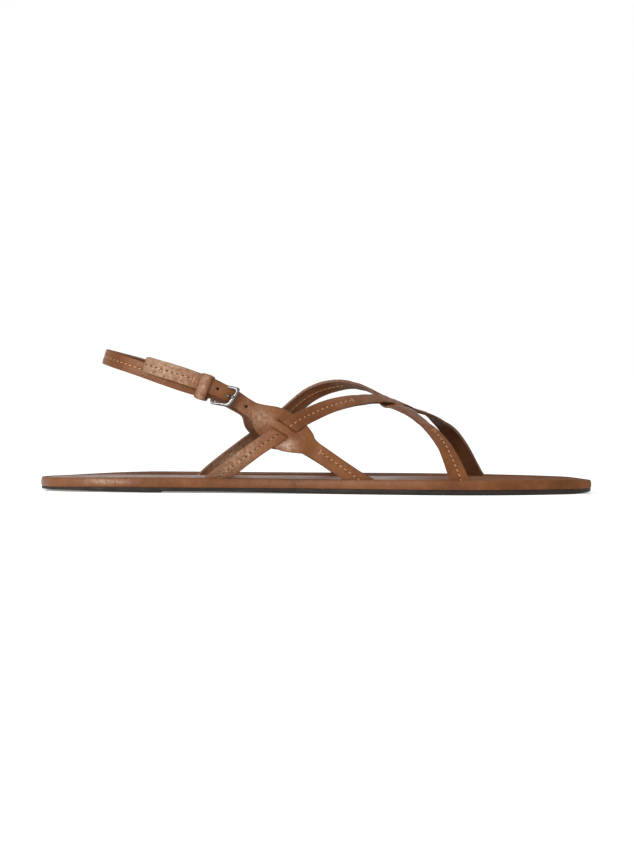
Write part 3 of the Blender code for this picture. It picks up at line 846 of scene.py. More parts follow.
def build_outsole(rubber):
    """Rubber sheet, thinner over the heel lift."""
    edge = edge_rings(outsole_bottom, [(0.9, 0.0, 0.0), (0.55, 0.12, 0.0), (0.38, 0.45, 0.0)])
    wall = [Ring(0.30, footbed_bottom, -1.3), Ring(0.28, footbed_bottom, -0.4)]
    lip = [Ring(0.36, footbed_bottom, 0.0), Ring(0.62, footbed_bottom, 0.12)]
    mesh = sole_sheet([*edge, *wall, *lip])
    breast = along_x(HEEL_LIFT_END)
    for x in (breast - BREAST_STEP, breast):
        bmesh.ops.bisect_plane(mesh, geom=all_geometry(mesh), plane_co=(x, 0, 0), plane_no=(1, 0, 0))
    for vert in mesh.verts:
        if vert.co.x < breast - BREAST_STEP / 2:
            vert.co.z = max(vert.co.z, HEEL_SEAT_RISE)
    mount(make_piece("rubber_outsole", mesh, [rubber]), "rubber_black", "outsole")


def build_heel_lift(rubber):
    edge = [Ring(0.7, heel_lift_bottom, 0.0), Ring(0.46, heel_lift_bottom, 0.1)]
    wall = [Ring(0.38, heel_lift_top, -0.4), Ring(0.32, heel_lift_top, 0.0)]
    mesh = sole_sheet([*edge, *wall])
    front = (along_x(HEEL_LIFT_END) - BREAST_STEP, 0, 0)
    cut = bmesh.ops.bisect_plane(
        mesh, geom=all_geometry(mesh), plane_co=front, plane_no=(1, 0, 0), clear_outer=True)
    rim = [item for item in cut["geom_cut"] if isinstance(item, bmesh.types.BMEdge)]
    bmesh.ops.contextual_create(mesh, geom=rim)
    bmesh.ops.recalc_face_normals(mesh, faces=mesh.faces)
    mount(make_piece("rubber_heel_lift", mesh, [rubber]), "rubber_black", "heel_lift")


def build_footbed(leather):
    # Rows of inset, lift and painted shade: dark lines at the wall's foot, in the crease behind the rim's
    # top and down into the sock's seat
    profile = [
        (0.70, 0.0, 0.6), (0.26, 0.24, 0.0), (0.06, 0.9, 0.0), (0.0, 2.3, 0.0), (0.14, 3.45, 0.0),
        (0.36, 4.18, 0.0), (0.75, FOOTBED_HIGH, 0.1), (1.15, 4.20, 0.9), (1.4, 4.0, 0.9),
        (1.7, 3.92, 0.1), (2.4, 3.75, 0.0), (2.8, 3.5, 0.6),
    ]
    seat = [Ring(2.92, sock_bottom, 0.3, 1.0), Ring(2.98, sock_bottom, SOCK_SUNK, 1.0)]
    rings = [*edge_rings(footbed_bottom, profile), *seat]
    mesh = sole_sheet(rings, swelling=SLOT_SWELL_LIFT, share=footbed_share, sheen_patches=WALL_SHEEN)
    mount(make_piece("wrapped_footbed", mesh, [leather], ROUND_SHARP), "leather_tan", "midsole")


def build_sock(sock):
    # Rows of inset, lift and painted shade, which darkens the sock's raised edge
    profile = [
        (SOCK_INSET - 0.1, 0.0, 1.0), (SOCK_INSET, 0.35, 1.0), (SOCK_INSET + 0.2, 0.6, 0.7),
        (SOCK_INSET + 0.9, SOCK_THICK, 0.0),
    ]
    mesh = sole_sheet(edge_rings(sock_bottom, profile), SOCK_CROWN)
    mount(make_piece("sock_lining", mesh, [sock], ROUND_SHARP), "leather_sock", "insole")


# Straps

def column_aside(column, half):
    """How far aside a column lies, and how far the strap's edge rolls down there."""
    steps = abs(column)
    sign = 1.0 if column >= 0 else -1.0
    if steps <= BAND_COLUMNS:
        return sign * BAND_HALF * steps / BAND_COLUMNS, 0.0
    share = EDGE_SHARES[steps - BAND_COLUMNS - 1]
    return sign * (BAND_HALF + (half - BAND_HALF) * share), EDGE_ROLL[steps - BAND_COLUMNS - 1]


def punch_hole(mesh, run):
    """Punch a round hole through the middle of a flat strap."""
    middle = min(mesh.verts, key=lambda vert: (vert.co.xy - Vector((run, 0.0))).length)
    centre = middle.co.copy()
    faces = list(middle.link_faces)
    rim = {vert for face in faces for vert in face.verts if vert is not middle}
    bmesh.ops.delete(mesh, geom=[middle], context="VERTS")
    for vert in rim:
        vert.co = centre + (vert.co - centre).normalized() * PUNCHED_HOLE


def cut_slits(mesh, weave):
    """Cut the leaf's two slits and open them a little; returns the corners on the band's side."""
    def on_slit(vert):
        return (abs(abs(vert.co.y) - BAND_HALF) < SLIT_TOLERANCE
                and abs(vert.co.x - weave.leaf_run) < SLIT_HALF)
    slits = [edge for edge in mesh.edges if all(on_slit(vert) for vert in edge.verts)]
    cut = bmesh.ops.split_edges(mesh, edges=slits)
    band = set()
    for vert in {vert for edge in cut["edges"] for vert in edge.verts}:
        middle = sum(abs(face.calc_center_median().y) for face in vert.link_faces) / len(vert.link_faces)
        inside = middle < BAND_HALF
        off = abs(vert.co.x - weave.leaf_run) / SLIT_HALF
        widened = SLIT_END_OPEN * ease((off - SLIT_WIDENS) / SLIT_WIDENS_RUN)
        opened = SLIT_OPEN + widened * ease((1.0 - off) / SLIT_CLOSES_RUN)
        vert.co.y += (opened if vert.co.y > 0 else -opened) * (-1.0 if inside else 1.0)
        if inside:
            band.add(vert)
    return band


def crease_lift(creases, run, aside):
    """How far creases lift or sink a strap; each comes with its distance along the strap."""
    lift = 0.0
    for crease_run, crease in creases:
        off = run - crease_run - crease.lean * aside
        lift -= crease.depth * bell(off, crease.wide)
    return lift


# A row of stitches on its strap: from and to a distance along it, and how far off its middle
Span = namedtuple("Span", "start stop aside")


def seam_groove(spans, run, aside):
    """1 in the groove under a row of stitches and 0 away from it."""
    share = 0.0
    for span in spans:
        begun = ease((run - span.start + SEAM_GROOVE_PAST) / SEAM_GROOVE_FADE)
        along = begun * ease((span.stop + SEAM_GROOVE_PAST - run) / SEAM_GROOVE_FADE)
        share = max(share, along * bell(aside - span.aside, SEAM_GROOVE_WIDE))
    return share


class StrapSheet:
    """A strap's sheet: laid flat at its true width, cut, and then bent over the foot."""

    def __init__(self, route, width=STRAP_WIDE, creases=(), sheen_patches=(), leaf=None, threaded=(), tail=False):
        self.route = route
        self.width = width
        self.creases = [(route.run_along(crease.along), crease) for crease in creases]
        self.sheen_patches = [(route.run_along(patch.along), patch) for patch in sheen_patches]
        self.leaf = leaf
        self.threaded = threaded
        self.tail = tail
        self.spans = []
        self.mesh = bmesh.new()
        self.band = set()

    def half(self, run, side):
        half = self.width * self.route.at(run).wide / 2
        if self.leaf:
            half = self.leaf.leaf_half(run, half, side)
        if self.tail:
            half *= 1.0 - TAIL_CORNER_CUT * max(1.0 - run / TAIL_CORNER, 0.0) ** 2
        return half

    def lay_flat(self):
        rows = round(self.route.length / ROW_STEP)
        roll = self.mesh.verts.layers.float.new("roll")

        def corner(row, column):
            run = self.route.length * row / rows
            half = self.half(run, column - COLUMNS)
            return Vector((run, column_aside(column - COLUMNS, half)[0], 0.0))
        for vert, row, column in bent_grid(self.mesh, rows, 2 * COLUMNS, corner):
            vert[roll] = column_aside(column - COLUMNS, STRAP_WIDE)[1]

    def lift(self, point, run, aside, half, on_band):
        """How far the outer face stands off its route's surface."""
        lift = crease_lift(self.creases, run, aside)
        flat = self.leaf.press(point) if self.leaf else 0.0
        lift -= STRAP_CROWN * (aside / half) ** 2 * (1.0 - flat)
        lift -= SEAM_GROOVE * seam_groove(self.spans, run, aside)
        if self.leaf:
            lift += flat * (BAND_RISE if on_band else -self.leaf.sink)
            lift -= self.leaf.leaf_droop(run, aside)
        for weave in self.threaded:
            lift += weave.threaded_lift(point)
        return lift

    def bend(self):
        """Lay the flat sheet over the foot; the flat places become its UV map, in metres."""
        mesh = self.mesh
        uv = mesh.loops.layers.uv.new("strap")
        roll = mesh.verts.layers.float["roll"]
        edge = mesh.verts.layers.float.new("edge")
        shine = mesh.verts.layers.float.new("shine")
        ribs = mesh.verts.layers.float.new("ribs")
        groove = mesh.verts.layers.float.new("groove")
        deform = mesh.verts.layers.deform.verify()
        for face in mesh.faces:
            for loop in face.loops:
                loop[uv].uv = loop.vert.co.xy * MM
        for vert in mesh.verts:
            run, aside = vert.co.xy
            half = self.half(run, aside)
            station = self.route.at(run)
            flat = station.point + station.side * aside
            on_band = vert in self.band or abs(aside) < BAND_HALF - BAND_MARGIN
            lift = self.lift(flat, run, aside, half, on_band) - vert[roll]
            vert.co = flat + station.out * lift
            vert[edge] = min(abs(aside) / half, 1.0)
            # Painted shade on the leaf's flanks along the threaded strap's lower edge
            if self.leaf and not on_band:
                vert[groove] = TUCK_DARK * self.leaf.tucked(flat)
            # Painted sheen from the patches, and how strongly fine ribs cross them
            for patch_run, patch in self.sheen_patches:
                off = Vector(((run - patch_run) / patch.long, (aside - patch.aside) / patch.wide))
                near = exp(-off.length_squared)
                vert[shine] += patch.shine * near
                vert[ribs] += patch.ribs * near
            weaves = [*self.threaded, *([self.leaf] if self.leaf else [])]
            vert[deform][0] = min((weave.thinned(flat) for weave in weaves), default=1.0)

    def face_lift(self, run, aside):
        """How far the outer face stands off the route at a distance along it and aside."""
        station = self.route.at(run)
        return self.lift(station.point + station.side * aside, run, aside, self.half(run, 1), True)


def thicken(piece, thick):
    """Give a strap's sheet its leather thickness and round its edges."""
    piece.vertex_groups.new(name="thickness")
    wall = piece.modifiers.new("leather", "SOLIDIFY")
    wall.thickness = thick * MM
    wall.offset = -1.0
    wall.vertex_group = "thickness"
    wall.material_offset = 2
    wall.material_offset_rim = 1
    soft = piece.modifiers.new("soft_edges", "SUBSURF")
    soft.levels = 1
    soft.render_levels = 1


class Sewing:
    """All stitches, and dark beads of painted shade at their needle holes and in the punched holes,
    gathered in two meshes.
    """

    def __init__(self):
        self.thread = bmesh.new()
        # Dark beads of painted shade at needle holes and in punched holes
        self.holes = bmesh.new()

    def bead(self, mesh, station, lift, long, wide, high, slant=0.0, aside=0.0):
        """A small rounded bead on a strap's face, its length turned by `slant` from the strap's run."""
        along = station.run * cos(slant) + station.side * sin(slant)
        across = station.side * cos(slant) - station.run * sin(slant)
        axes = Matrix((along * long / 2, across * wide / 2, station.out * high / 2)).transposed()
        centre = station.point + station.out * lift + station.side * aside
        bmesh.ops.create_uvsphere(
            mesh, u_segments=BEAD_SIDES, v_segments=BEAD_RINGS, radius=1.0,
            matrix=Matrix.Translation(centre) @ axes.to_4x4() @ Matrix.Rotation(pi / 2, 4, "Y"))

    def row(self, sheet, span, seam):
        """Sew a row along a strap."""
        start, stop, aside = span
        count = max(round((stop - start) / STITCH_PITCH), 1)
        pitch = (stop - start) / count
        for i in range(count + 1):
            run = start + pitch * i
            hole = sheet.route.at(run)
            lift = sheet.face_lift(run, aside) + NEEDLE_HOLE_LIFT
            long = PULLED_HOLE_LONG if seam.sunk > PULLED_SUNK else NEEDLE_HOLE_WIDE
            # Painted shade: a dark bead on the face stands in for the needle hole
            self.bead(
                self.holes, hole, lift, long, NEEDLE_HOLE_WIDE, NEEDLE_HOLE_HIGH, -STITCH_SLANT, aside)
            if i == count:
                break
            middle = run + pitch / 2
            station = sheet.route.at(middle)
            lift = sheet.face_lift(middle, aside)
            long = STITCH_LONG * pitch / STITCH_PITCH
            top = lift + STITCH_LIFT - seam.sunk
            self.bead(self.thread, station, top, long, STITCH_WIDE, STITCH_HIGH, STITCH_SLANT, aside)
            if seam.back:
                back = lift - STRAP_THICK
                wide = BACK_THREAD_WIDE
                self.bead(self.thread, station, back, pitch, wide, wide, aside=aside)
        for run, bar in ((start, seam.bar_start), (stop, seam.bar_stop)):
            if bar:
                station = sheet.route.at(run)
                lift = sheet.face_lift(run, aside) + CROSS_BAR_LIFT
                self.bead(
                    self.thread, station, lift, CROSS_BAR_LONG, STITCH_WIDE, STITCH_HIGH, pi / 2, aside)

    def finish(self, thread, dark):
        for mesh in (self.thread, self.holes):
            bmesh.ops.recalc_face_normals(mesh, faces=mesh.faces)
        mount(make_piece("strap_stitching", self.thread, [thread], None), "leather_tan")
        mount(make_piece("hole_shade_beads", self.holes, [dark], None), "leather_tan")


def level_foot(mesh):
    """Cut a strap's end level inside the footbed's slot."""
    bmesh.ops.bisect_plane(
        mesh, geom=all_geometry(mesh), plane_co=(0, 0, FOOT_LEVEL), plane_no=(0, 0, 1), clear_inner=True)


def build_strap(name, sheet, seams, leathers, sewing, holes=()):
    route = sheet.route
    for seam in seams:
        sheet.spans.append(Span(route.run_along(seam.start), route.run_along(seam.stop), seam.aside))
    sheet.lay_flat()
    for x in holes:
        run = route.run_at_x(x)
        punch_hole(sheet.mesh, run)
        # Painted shade: a dark disc inside the hole
        wide = HOLE_SHADE_WIDE
        sewing.bead(sewing.holes, route.at(run), -HOLE_SHADE_DEPTH, wide, wide, NEEDLE_HOLE_HIGH)
    if sheet.leaf:
        sheet.band = cut_slits(sheet.mesh, sheet.leaf)
    sheet.bend()
    level_foot(sheet.mesh)
    for span, seam in zip(sheet.spans, seams):
        sewing.row(sheet, span, seam)
    piece = make_piece(name, sheet.mesh, leathers, None)
    thicken(piece, STRAP_THICK)
    mount(piece, "leather_tan", "upper")


def build_upper(leathers, sewing):
    outer_leaf = Route(OUTER_LEAF_STRAP)
    outer_threaded = Route(OUTER_THREADED_STRAP)
    inner_threaded = Route(INNER_THREADED_STRAP)
    inner_leaf = Route(INNER_LEAF_STRAP)
    outer = Weave(OUTER_CROSSING, outer_leaf, outer_threaded)
    inner = Weave(INNER_CROSSING, inner_leaf, inner_threaded)
    instep = Weave(INSTEP_CROSSING, inner_threaded, outer_threaded)
    build_strap(
        "outer_leaf_strap",
        StrapSheet(outer_leaf, creases=OUTER_LEAF_CREASES, sheen_patches=OUTER_LEAF_SHEEN_AND_RIBS, leaf=outer, tail=True),
        OUTER_LEAF_SEAMS, leathers, sewing, PUNCHED_HOLES)
    build_strap(
        "outer_threaded_strap",
        StrapSheet(outer_threaded, creases=OUTER_THREADED_CREASES, sheen_patches=OUTER_THREADED_SHEEN_AND_RIBS,
                   threaded=(outer, instep)),
        OUTER_THREADED_SEAMS, leathers, sewing)
    build_strap(
        "inner_threaded_strap",
        StrapSheet(inner_threaded, creases=INNER_THREADED_CREASES, sheen_patches=INNER_THREADED_SHEEN_AND_RIBS,
                   leaf=instep, threaded=(inner,)),
        INNER_THREADED_SEAMS, leathers, sewing)
    build_strap(
        "inner_leaf_strap",
        StrapSheet(inner_leaf, creases=INNER_LEAF_CREASES, sheen_patches=INNER_LEAF_SHEEN_AND_RIBS, leaf=inner, tail=True),
        INNER_LEAF_SEAMS, leathers, sewing)


# Heel sling, buckle and keeper

class BuckleFrame:
    """Directions and places at the buckle: along the strap to the toe, across it and outwards."""

    def __init__(self, sling, tail):
        end = sling.stations[-1]
        self.run = end.run
        self.across = -end.side
        self.out = end.out
        self.hinge = end.point + end.run * FOLD_RADIUS * HINGE_IN_FOLD - end.out * STRAP_THICK / 2
        under_bar = tail.at(tail.run_along(BUCKLE_BAR_ALONG))
        self.bar_across = -under_bar.side
        self.outer_bar = under_bar.point + under_bar.out * (BUCKLE_BAR_LIFT + BAR_THICK / 2)


def build_sling(leathers, sewing, sling, buckle):
    """Sling round the heel; its outer end folds round the buckle's hinge bar."""
    sheet = StrapSheet(sling, SLING_WIDE)
    sheet.spans.append(Span(0.0, sling.length, 0.0))
    sheet.lay_flat()
    sheet.bend()
    sewing.row(sheet, Span(SLING_SEAM_START, sling.length - SLING_SEAM_END, 0.0), SLING_SEAM)
    deform = sheet.mesh.verts.layers.deform.verify()

    def fold_corner(row, column):
        turn = radians(FOLD_START + FOLD_TURN * row / FOLD_STEPS)
        arm = buckle.out * cos(turn) + buckle.run * sin(turn)
        aside = buckle.across * FOLD_WIDE * (column / FOLD_COLUMNS - 0.5)
        return buckle.hinge + arm * FOLD_RADIUS - aside
    for vert, row, column in bent_grid(sheet.mesh, FOLD_STEPS, FOLD_COLUMNS, fold_corner):
        vert[deform][0] = FOLD_THICK / STRAP_THICK
    piece = make_piece("heel_sling", sheet.mesh, leathers, None)
    thicken(piece, STRAP_THICK)
    mount(piece, "leather_tan", "heel_strap")


def rounded_loop(half_long, half_wide, corner, steps=6):
    """Places round a rectangle with round corners, as (along, across)."""
    places = []
    for quarter, (sx, sy) in enumerate(((1, 1), (-1, 1), (-1, -1), (1, -1))):
        for i in range(steps + 1):
            turn = (quarter + i / steps) * pi / 2
            places.append((sx * (half_long - corner) + corner * cos(turn),
                           sy * (half_wide - corner) + corner * sin(turn)))
    return places


def build_buckle(metal, buckle):
    """Silver frame: a round bar bent to a loop with round corners."""
    centre = (buckle.hinge + buckle.outer_bar) / 2
    run = (buckle.outer_bar - buckle.hinge).normalized()
    out = buckle.across.cross(run).normalized()
    half_long = (buckle.outer_bar - buckle.hinge).length / 2
    loop = rounded_loop(half_long, BUCKLE_HALF_WIDE, BUCKLE_CORNER)

    def corner(row, column):
        along, aside = loop[row % len(loop)]
        across = buckle.across.lerp(buckle.bar_across, 0.5 + along / half_long / 2)
        inward = (run * -along - across * aside * half_long / BUCKLE_HALF_WIDE).normalized()
        inward *= 1.0 + BAR_WIDENING * max(along / half_long, 0.0) ** 2
        turn = tau * column / BAR_SIDES
        middle = centre + run * along + across * aside
        return middle + (inward * cos(turn) + out * sin(turn)) * BAR_THICK / 2
    mesh = bmesh.new()
    bent_grid(mesh, len(loop), BAR_SIDES, corner)
    close_seams(mesh)
    mount(make_piece("buckle_loop", mesh, [metal], None), "metal_silver", "buckle_frame")


# The prong's way out through the strap, as distances along and outwards: first from the hinge bar, and
# then from where its tip rests on the outer bar
ProngBend = namedtuple("ProngBend", "step along out thick")
HINGE_BENDS = [
    ProngBend(0.0, 1.9, -0.4, 1.0),
    ProngBend(1.0, 3.2, -0.3, 1.0),
    ProngBend(2.0, 5.0, -0.2, 1.0),
]
TIP_BENDS = [
    ProngBend(3.0, -2.2, -2.2, 1.0),
    ProngBend(4.0, -1.1, -0.5, 1.0),
    ProngBend(5.0, 0.0, 0.1, 0.95),
    ProngBend(6.0, PRONG_OVERHANG, -0.3, 0.7),
]
PRONG_ROWS = 28


def build_prong(metal, buckle):
    """Prong from the hinge bar through the strap's hole, lying on the outer bar."""
    reach = buckle.outer_bar - buckle.hinge
    run = reach.normalized()
    out = buckle.across.cross(run).normalized()
    rest = BAR_THICK / 2 + PRONG_CLEAR + PRONG_THICK / 2
    bends = list(HINGE_BENDS)
    for bend in TIP_BENDS:
        bends.append(bend._replace(along=reach.length + bend.along, out=rest + bend.out))

    def corner(row, column):
        key = (bends[-1].step * row) / PRONG_ROWS
        bend = ProngBend(*between(bends, key))
        thick = 0.0 if row in (0, PRONG_ROWS) else PRONG_THICK * bend.thick
        turn = tau * column / BAR_SIDES
        middle = buckle.hinge + run * bend.along + out * bend.out
        return middle + (buckle.across * cos(turn) + out * sin(turn)) * thick / 2
    mesh = bmesh.new()
    bent_grid(mesh, PRONG_ROWS, BAR_SIDES, corner)
    close_seams(mesh)
    mount(make_piece("buckle_tongue", mesh, [metal], None), "metal_silver", "buckle_prong")


def build_keeper(leathers, tail, sling):
    """Leather loop round the sling and the tail that lies on it."""
    over = tail.at(tail.run_along(KEEPER_ALONG))
    outer_half = [station for station in sling.stations if station.point.y < 0.0]
    under = min(outer_half, key=lambda station: abs(station.point.x - over.point.x)).point
    run, across, out = over.run, -over.side, over.out
    low = under - out * STRAP_THICK
    centre = (over.point + low) / 2
    half_out = (over.point - low).dot(out) / 2 + KEEPER_CLEAR + KEEPER_THICK
    spread = abs((over.point - under).dot(across))
    half_wide = (STRAP_WIDE + SLING_WIDE) / 4 + spread * KEEPER_SPREAD_SHARE + KEEPER_CLEAR + KEEPER_THICK
    loop = rounded_loop(half_wide, half_out, KEEPER_CORNER)

    def corner(row, column):
        aside, outward = loop[row % len(loop)]
        shift = KEEPER_WIDE * (0.5 - column / KEEPER_COLUMNS)
        bulge = KEEPER_BULGE * (1.0 - (2 * column / KEEPER_COLUMNS - 1.0) ** 2)
        grown = 1.0 + bulge / half_out
        return centre + run * shift + across * aside * (1.0 + bulge / half_wide) + out * outward * grown
    mesh = bmesh.new()
    deform = mesh.verts.layers.deform.verify()
    shine = mesh.verts.layers.float.new("shine")
    for vert, row, column in bent_grid(mesh, len(loop), KEEPER_COLUMNS, corner):
        vert[deform][0] = 1.0
        # Painted highlight, strongest along the band's middle
        vert[shine] = KEEPER_SHINE * sin(pi * column / KEEPER_COLUMNS) ** 2
    close_seams(mesh)
    piece = make_piece("tail_keeper", mesh, leathers, None)
    thicken(piece, KEEPER_THICK)
    mount(piece, "leather_tan", "keeper_loop")


# Finishes

class Finish:
    """A node material with short calls for the textures that it needs."""

    def __init__(self, name, roughness, specular=0.5):
        self.material = bpy.data.materials.new(name)
        self.material.use_nodes = True
        self.nodes = self.material.node_tree.nodes
        self.links = self.material.node_tree.links
        self.shader = self.nodes["Principled BSDF"]
        self.shader.inputs["Roughness"].default_value = roughness
        self.shader.inputs["Specular IOR Level"].default_value = specular
        self.coords = self.nodes.new("ShaderNodeTexCoord")

    def join(self, start, end):
        self.links.new(start, end)

    def node(self, kind, vector=None, **values):
        """A new node with values on its inputs and, if given, a vector joined to it."""
        node = self.nodes.new("ShaderNode" + kind)
        for name, value in values.items():
            node.inputs[name].default_value = value
        if vector:
            self.join(vector, node.inputs["Vector"])
        return node

    def noise(self, scale, detail=4.0, roughness=0.55, vector=None):
        vector = vector or self.coords.outputs["Object"]
        node = self.node("TexNoise", vector, Scale=scale, Detail=detail, Roughness=roughness)
        return node.outputs["Fac"]

    def stretched(self, output, scale):
        return self.node("Mapping", self.coords.outputs[output], Scale=scale).outputs["Vector"]

    def cells(self, scale):
        node = self.node("TexVoronoi", self.coords.outputs["Object"], Scale=scale)
        node.feature = "SMOOTH_F1"
        return node.outputs["Distance"]

    def attribute(self, name):
        node = self.node("Attribute")
        node.attribute_name = name
        return node.outputs["Fac"]

    def along(self):
        """The place along the shoe, in metres from its middle."""
        return self.node("SeparateXYZ", self.coords.outputs["Object"]).outputs["X"]

    def ramp(self, factor, stops):
        """Colours, or grey levels, by a factor."""
        node = self.node("ValToRGB")
        while len(node.color_ramp.elements) < len(stops):
            node.color_ramp.elements.new(1.0)
        for element, (position, colour) in zip(node.color_ramp.elements, stops):
            level = colour if isinstance(colour, tuple) else (colour, colour, colour)
            element.position = position
            element.color = (*level, 1.0)
        self.join(factor, node.inputs["Fac"])
        return node.outputs["Color"]

    def blend(self, factor, first, second, how="MIX"):
        node = self.node("Mix")
        node.data_type = "RGBA"
        node.blend_type = how
        self.join(factor, node.inputs["Factor"])
        self.join(first, node.inputs["A"])
        self.join(second, node.inputs["B"])
        return next(out for out in node.outputs if out.type == "RGBA")

    def product(self, first, second):
        node = self.node("Math")
        node.operation = "MULTIPLY"
        self.join(first, node.inputs[0])
        self.join(second, node.inputs[1])
        return node.outputs["Value"]

    def bump(self, height, strength, distance, before=None):
        node = self.node("Bump", Strength=strength, Distance=distance)
        self.join(height, node.inputs["Height"])
        if before:
            self.join(before, node.inputs["Normal"])
        return node.outputs["Normal"]

    def use(self, name, output):
        self.join(output, self.shader.inputs[name])


# Painted shade darkens the sole's steps and grooves and the leaf beside a threaded strap, and a painted
# sheen makes the leather pale in places
GROOVE_SHADE = (0.030, 0.012, 0.006)
SHEEN_PALE = (0.440, 0.300, 0.210)

# Tones of each leather, from dark to light, and the pale of its painted sheen
STRAP_TONES = [(0.104, 0.031, 0.007), (0.144, 0.046, 0.010), (0.190, 0.069, 0.021), SHEEN_PALE]
LINING_TONES = [(0.070, 0.024, 0.008), (0.095, 0.033, 0.011), (0.125, 0.046, 0.017), SHEEN_PALE]
FOOTBED_TONES = [(0.106, 0.034, 0.009), (0.147, 0.050, 0.014), (0.195, 0.074, 0.026), SHEEN_PALE]
SOCK_TONES = [(0.135, 0.048, 0.015), (0.155, 0.057, 0.019), (0.175, 0.067, 0.025), SHEEN_PALE]

# Dark and light tones of the other finishes
EDGE_DARK = (0.105, 0.048, 0.027)
EDGE_LIGHT = (0.235, 0.130, 0.080)
RUBBER_DARK = (0.010, 0.007, 0.005)
RUBBER_LIGHT = (0.026, 0.019, 0.014)
SILVER_DARK = (0.06, 0.057, 0.055)
SILVER_LIGHT = (0.26, 0.25, 0.245)
THREAD_DARK = (0.35, 0.17, 0.065)
THREAD_LIGHT = (0.60, 0.34, 0.15)
# Painted shade of the needle holes and of the discs in the punched holes
HOLE_SHADE_DARK = (0.010, 0.005, 0.003)
HOLE_SHADE_LIGHT = (0.03, 0.014, 0.008)

# The toe of the sole is duller than the rest, from here on in metres
DULL_START = 0.030
DULL_END = 0.090


def tan_leather(name, tones, roughness, specular, wrinkled=False):
    """Waxed leather: mottled colour, pebbled grain and, on straps, fine wrinkles across their run."""
    finish = Finish(name, roughness[0], specular)
    mottle = finish.noise(70.0, 6.0, 0.62)
    colour = finish.ramp(mottle, [(0.32, tones[0]), (0.5, tones[1]), (0.7, tones[2])])
    worn = finish.ramp(finish.attribute("edge"), [(0.80, 0.0), (0.97, 0.55)])
    dark = finish.ramp(finish.noise(260.0), [(0.3, tones[0]), (0.8, tones[1])])
    colour = finish.blend(worn, colour, dark)
    # Painted sheen: grainy pale patches where the shine attribute is set
    grain = finish.ramp(finish.noise(800.0, 4.0, 0.7), [(0.36, 0.35), (0.62, 1.0)])
    pale = finish.ramp(finish.noise(600.0, 4.0, 0.7), [(0.3, tones[2]), (0.65, tones[3])])
    colour = finish.blend(finish.product(finish.attribute("shine"), grain), colour, pale)
    # Painted shade: the groove attribute darkens the colour in the sole's steps and grooves and beside
    # the threaded straps' edges
    seam = finish.ramp(finish.noise(300.0), [(0.3, GROOVE_SHADE), (0.8, tones[0])])
    colour = finish.blend(finish.attribute("groove"), colour, seam)
    finish.use("Base Color", colour)
    gloss = finish.ramp(finish.noise(120.0, 5.0), [(0.3, roughness[0]), (0.72, roughness[1])])
    if not wrinkled:
        toe = finish.ramp(finish.along(), [(DULL_START, 0.0), (DULL_END, 1.0)])
        dull = finish.ramp(finish.noise(200.0), [(0.3, 0.85), (0.7, 0.95)])
        gloss = finish.blend(toe, gloss, dull)
    finish.use("Roughness", gloss)
    normal = finish.bump(finish.cells(1300.0), 0.40, 0.00035)
    normal = finish.bump(finish.noise(420.0, 5.0), 0.30, 0.0008, normal)
    if wrinkled:
        across = finish.noise(1.0, 3.0, 0.6, finish.stretched("UV", (1500.0, 130.0, 1.0)))
        ribs = finish.ramp(finish.attribute("ribs"), [(0.0, 0.12), (0.8, 1.0)])
        normal = finish.bump(finish.product(across, ribs), 0.9, 0.0010, normal)
    finish.use("Normal", normal)
    return finish.material


def cut_edge():
    """Raw edge of the leather, fibrous along its run."""
    finish = Finish("leather_cut_edge", 0.7)
    fibres = finish.noise(900.0, 5.0, 0.7)
    finish.use("Base Color", finish.ramp(fibres, [(0.3, EDGE_DARK), (0.7, EDGE_LIGHT)]))
    finish.use("Normal", finish.bump(fibres, 0.4, 0.0004))
    return finish.material


def black_rubber():
    """Matt rubber with a brown cast and fine speckle."""
    finish = Finish("rubber_sole", 0.62, 0.25)
    dust = finish.noise(160.0, 6.0, 0.65)
    finish.use("Base Color", finish.ramp(dust, [(0.3, RUBBER_DARK), (0.75, RUBBER_LIGHT)]))
    finish.use("Roughness", finish.ramp(finish.noise(300.0), [(0.3, 0.5), (0.7, 0.75)]))
    finish.use("Normal", finish.bump(finish.noise(1400.0, 4.0, 0.7), 0.25, 0.0003))
    return finish.material


def silver_metal():
    """Cast silver-coloured metal, softly polished, with dull patches and fine scratches."""
    finish = Finish("buckle_silver", 0.25)
    finish.shader.inputs["Metallic"].default_value = 1.0
    tarnish = finish.noise(500.0, 5.0, 0.6)
    finish.use("Base Color", finish.ramp(tarnish, [(0.3, SILVER_DARK), (0.7, SILVER_LIGHT)]))
    finish.use("Roughness", finish.ramp(finish.noise(900.0), [(0.3, 0.22), (0.7, 0.42)]))
    finish.use("Normal", finish.bump(finish.noise(1100.0, 3.0), 0.15, 0.0004))
    return finish.material


def waxed_thread():
    finish = Finish("waxed_thread", 0.55)
    strand = finish.noise(1600.0, 3.0)
    finish.use("Base Color", finish.ramp(strand, [(0.3, THREAD_DARK), (0.7, THREAD_LIGHT)]))
    finish.use("Normal", finish.bump(strand, 0.4, 0.0003))
    return finish.material


# Painted shade: near-black for the needle holes and the punched holes' discs
def hole_shade_finish():
    finish = Finish("hole_painted_shade", 0.9, 0.1)
    finish.use("Base Color", finish.ramp(finish.noise(900.0), [(0.3, HOLE_SHADE_DARK), (0.7, HOLE_SHADE_LIGHT)]))
    return finish.material


def pale_floor():
    finish = Finish("studio_floor", 0.9, 0.0)
    finish.use("Base Color", finish.ramp(finish.noise(3.0), [(0.3, 0.90), (0.7, 0.92)]))
    finish.shader.inputs["Emission Color"].default_value = (1.0, 1.0, 1.0, 1.0)
    finish.shader.inputs["Emission Strength"].default_value = FLOOR_GLOW
    return finish.material


# Studio

def build_floor():
    mesh = bmesh.new()
    bmesh.ops.create_grid(mesh, x_segments=1, y_segments=1, size=FLOOR_HALF)
    floor = make_piece("floor", mesh, [pale_floor()], None)


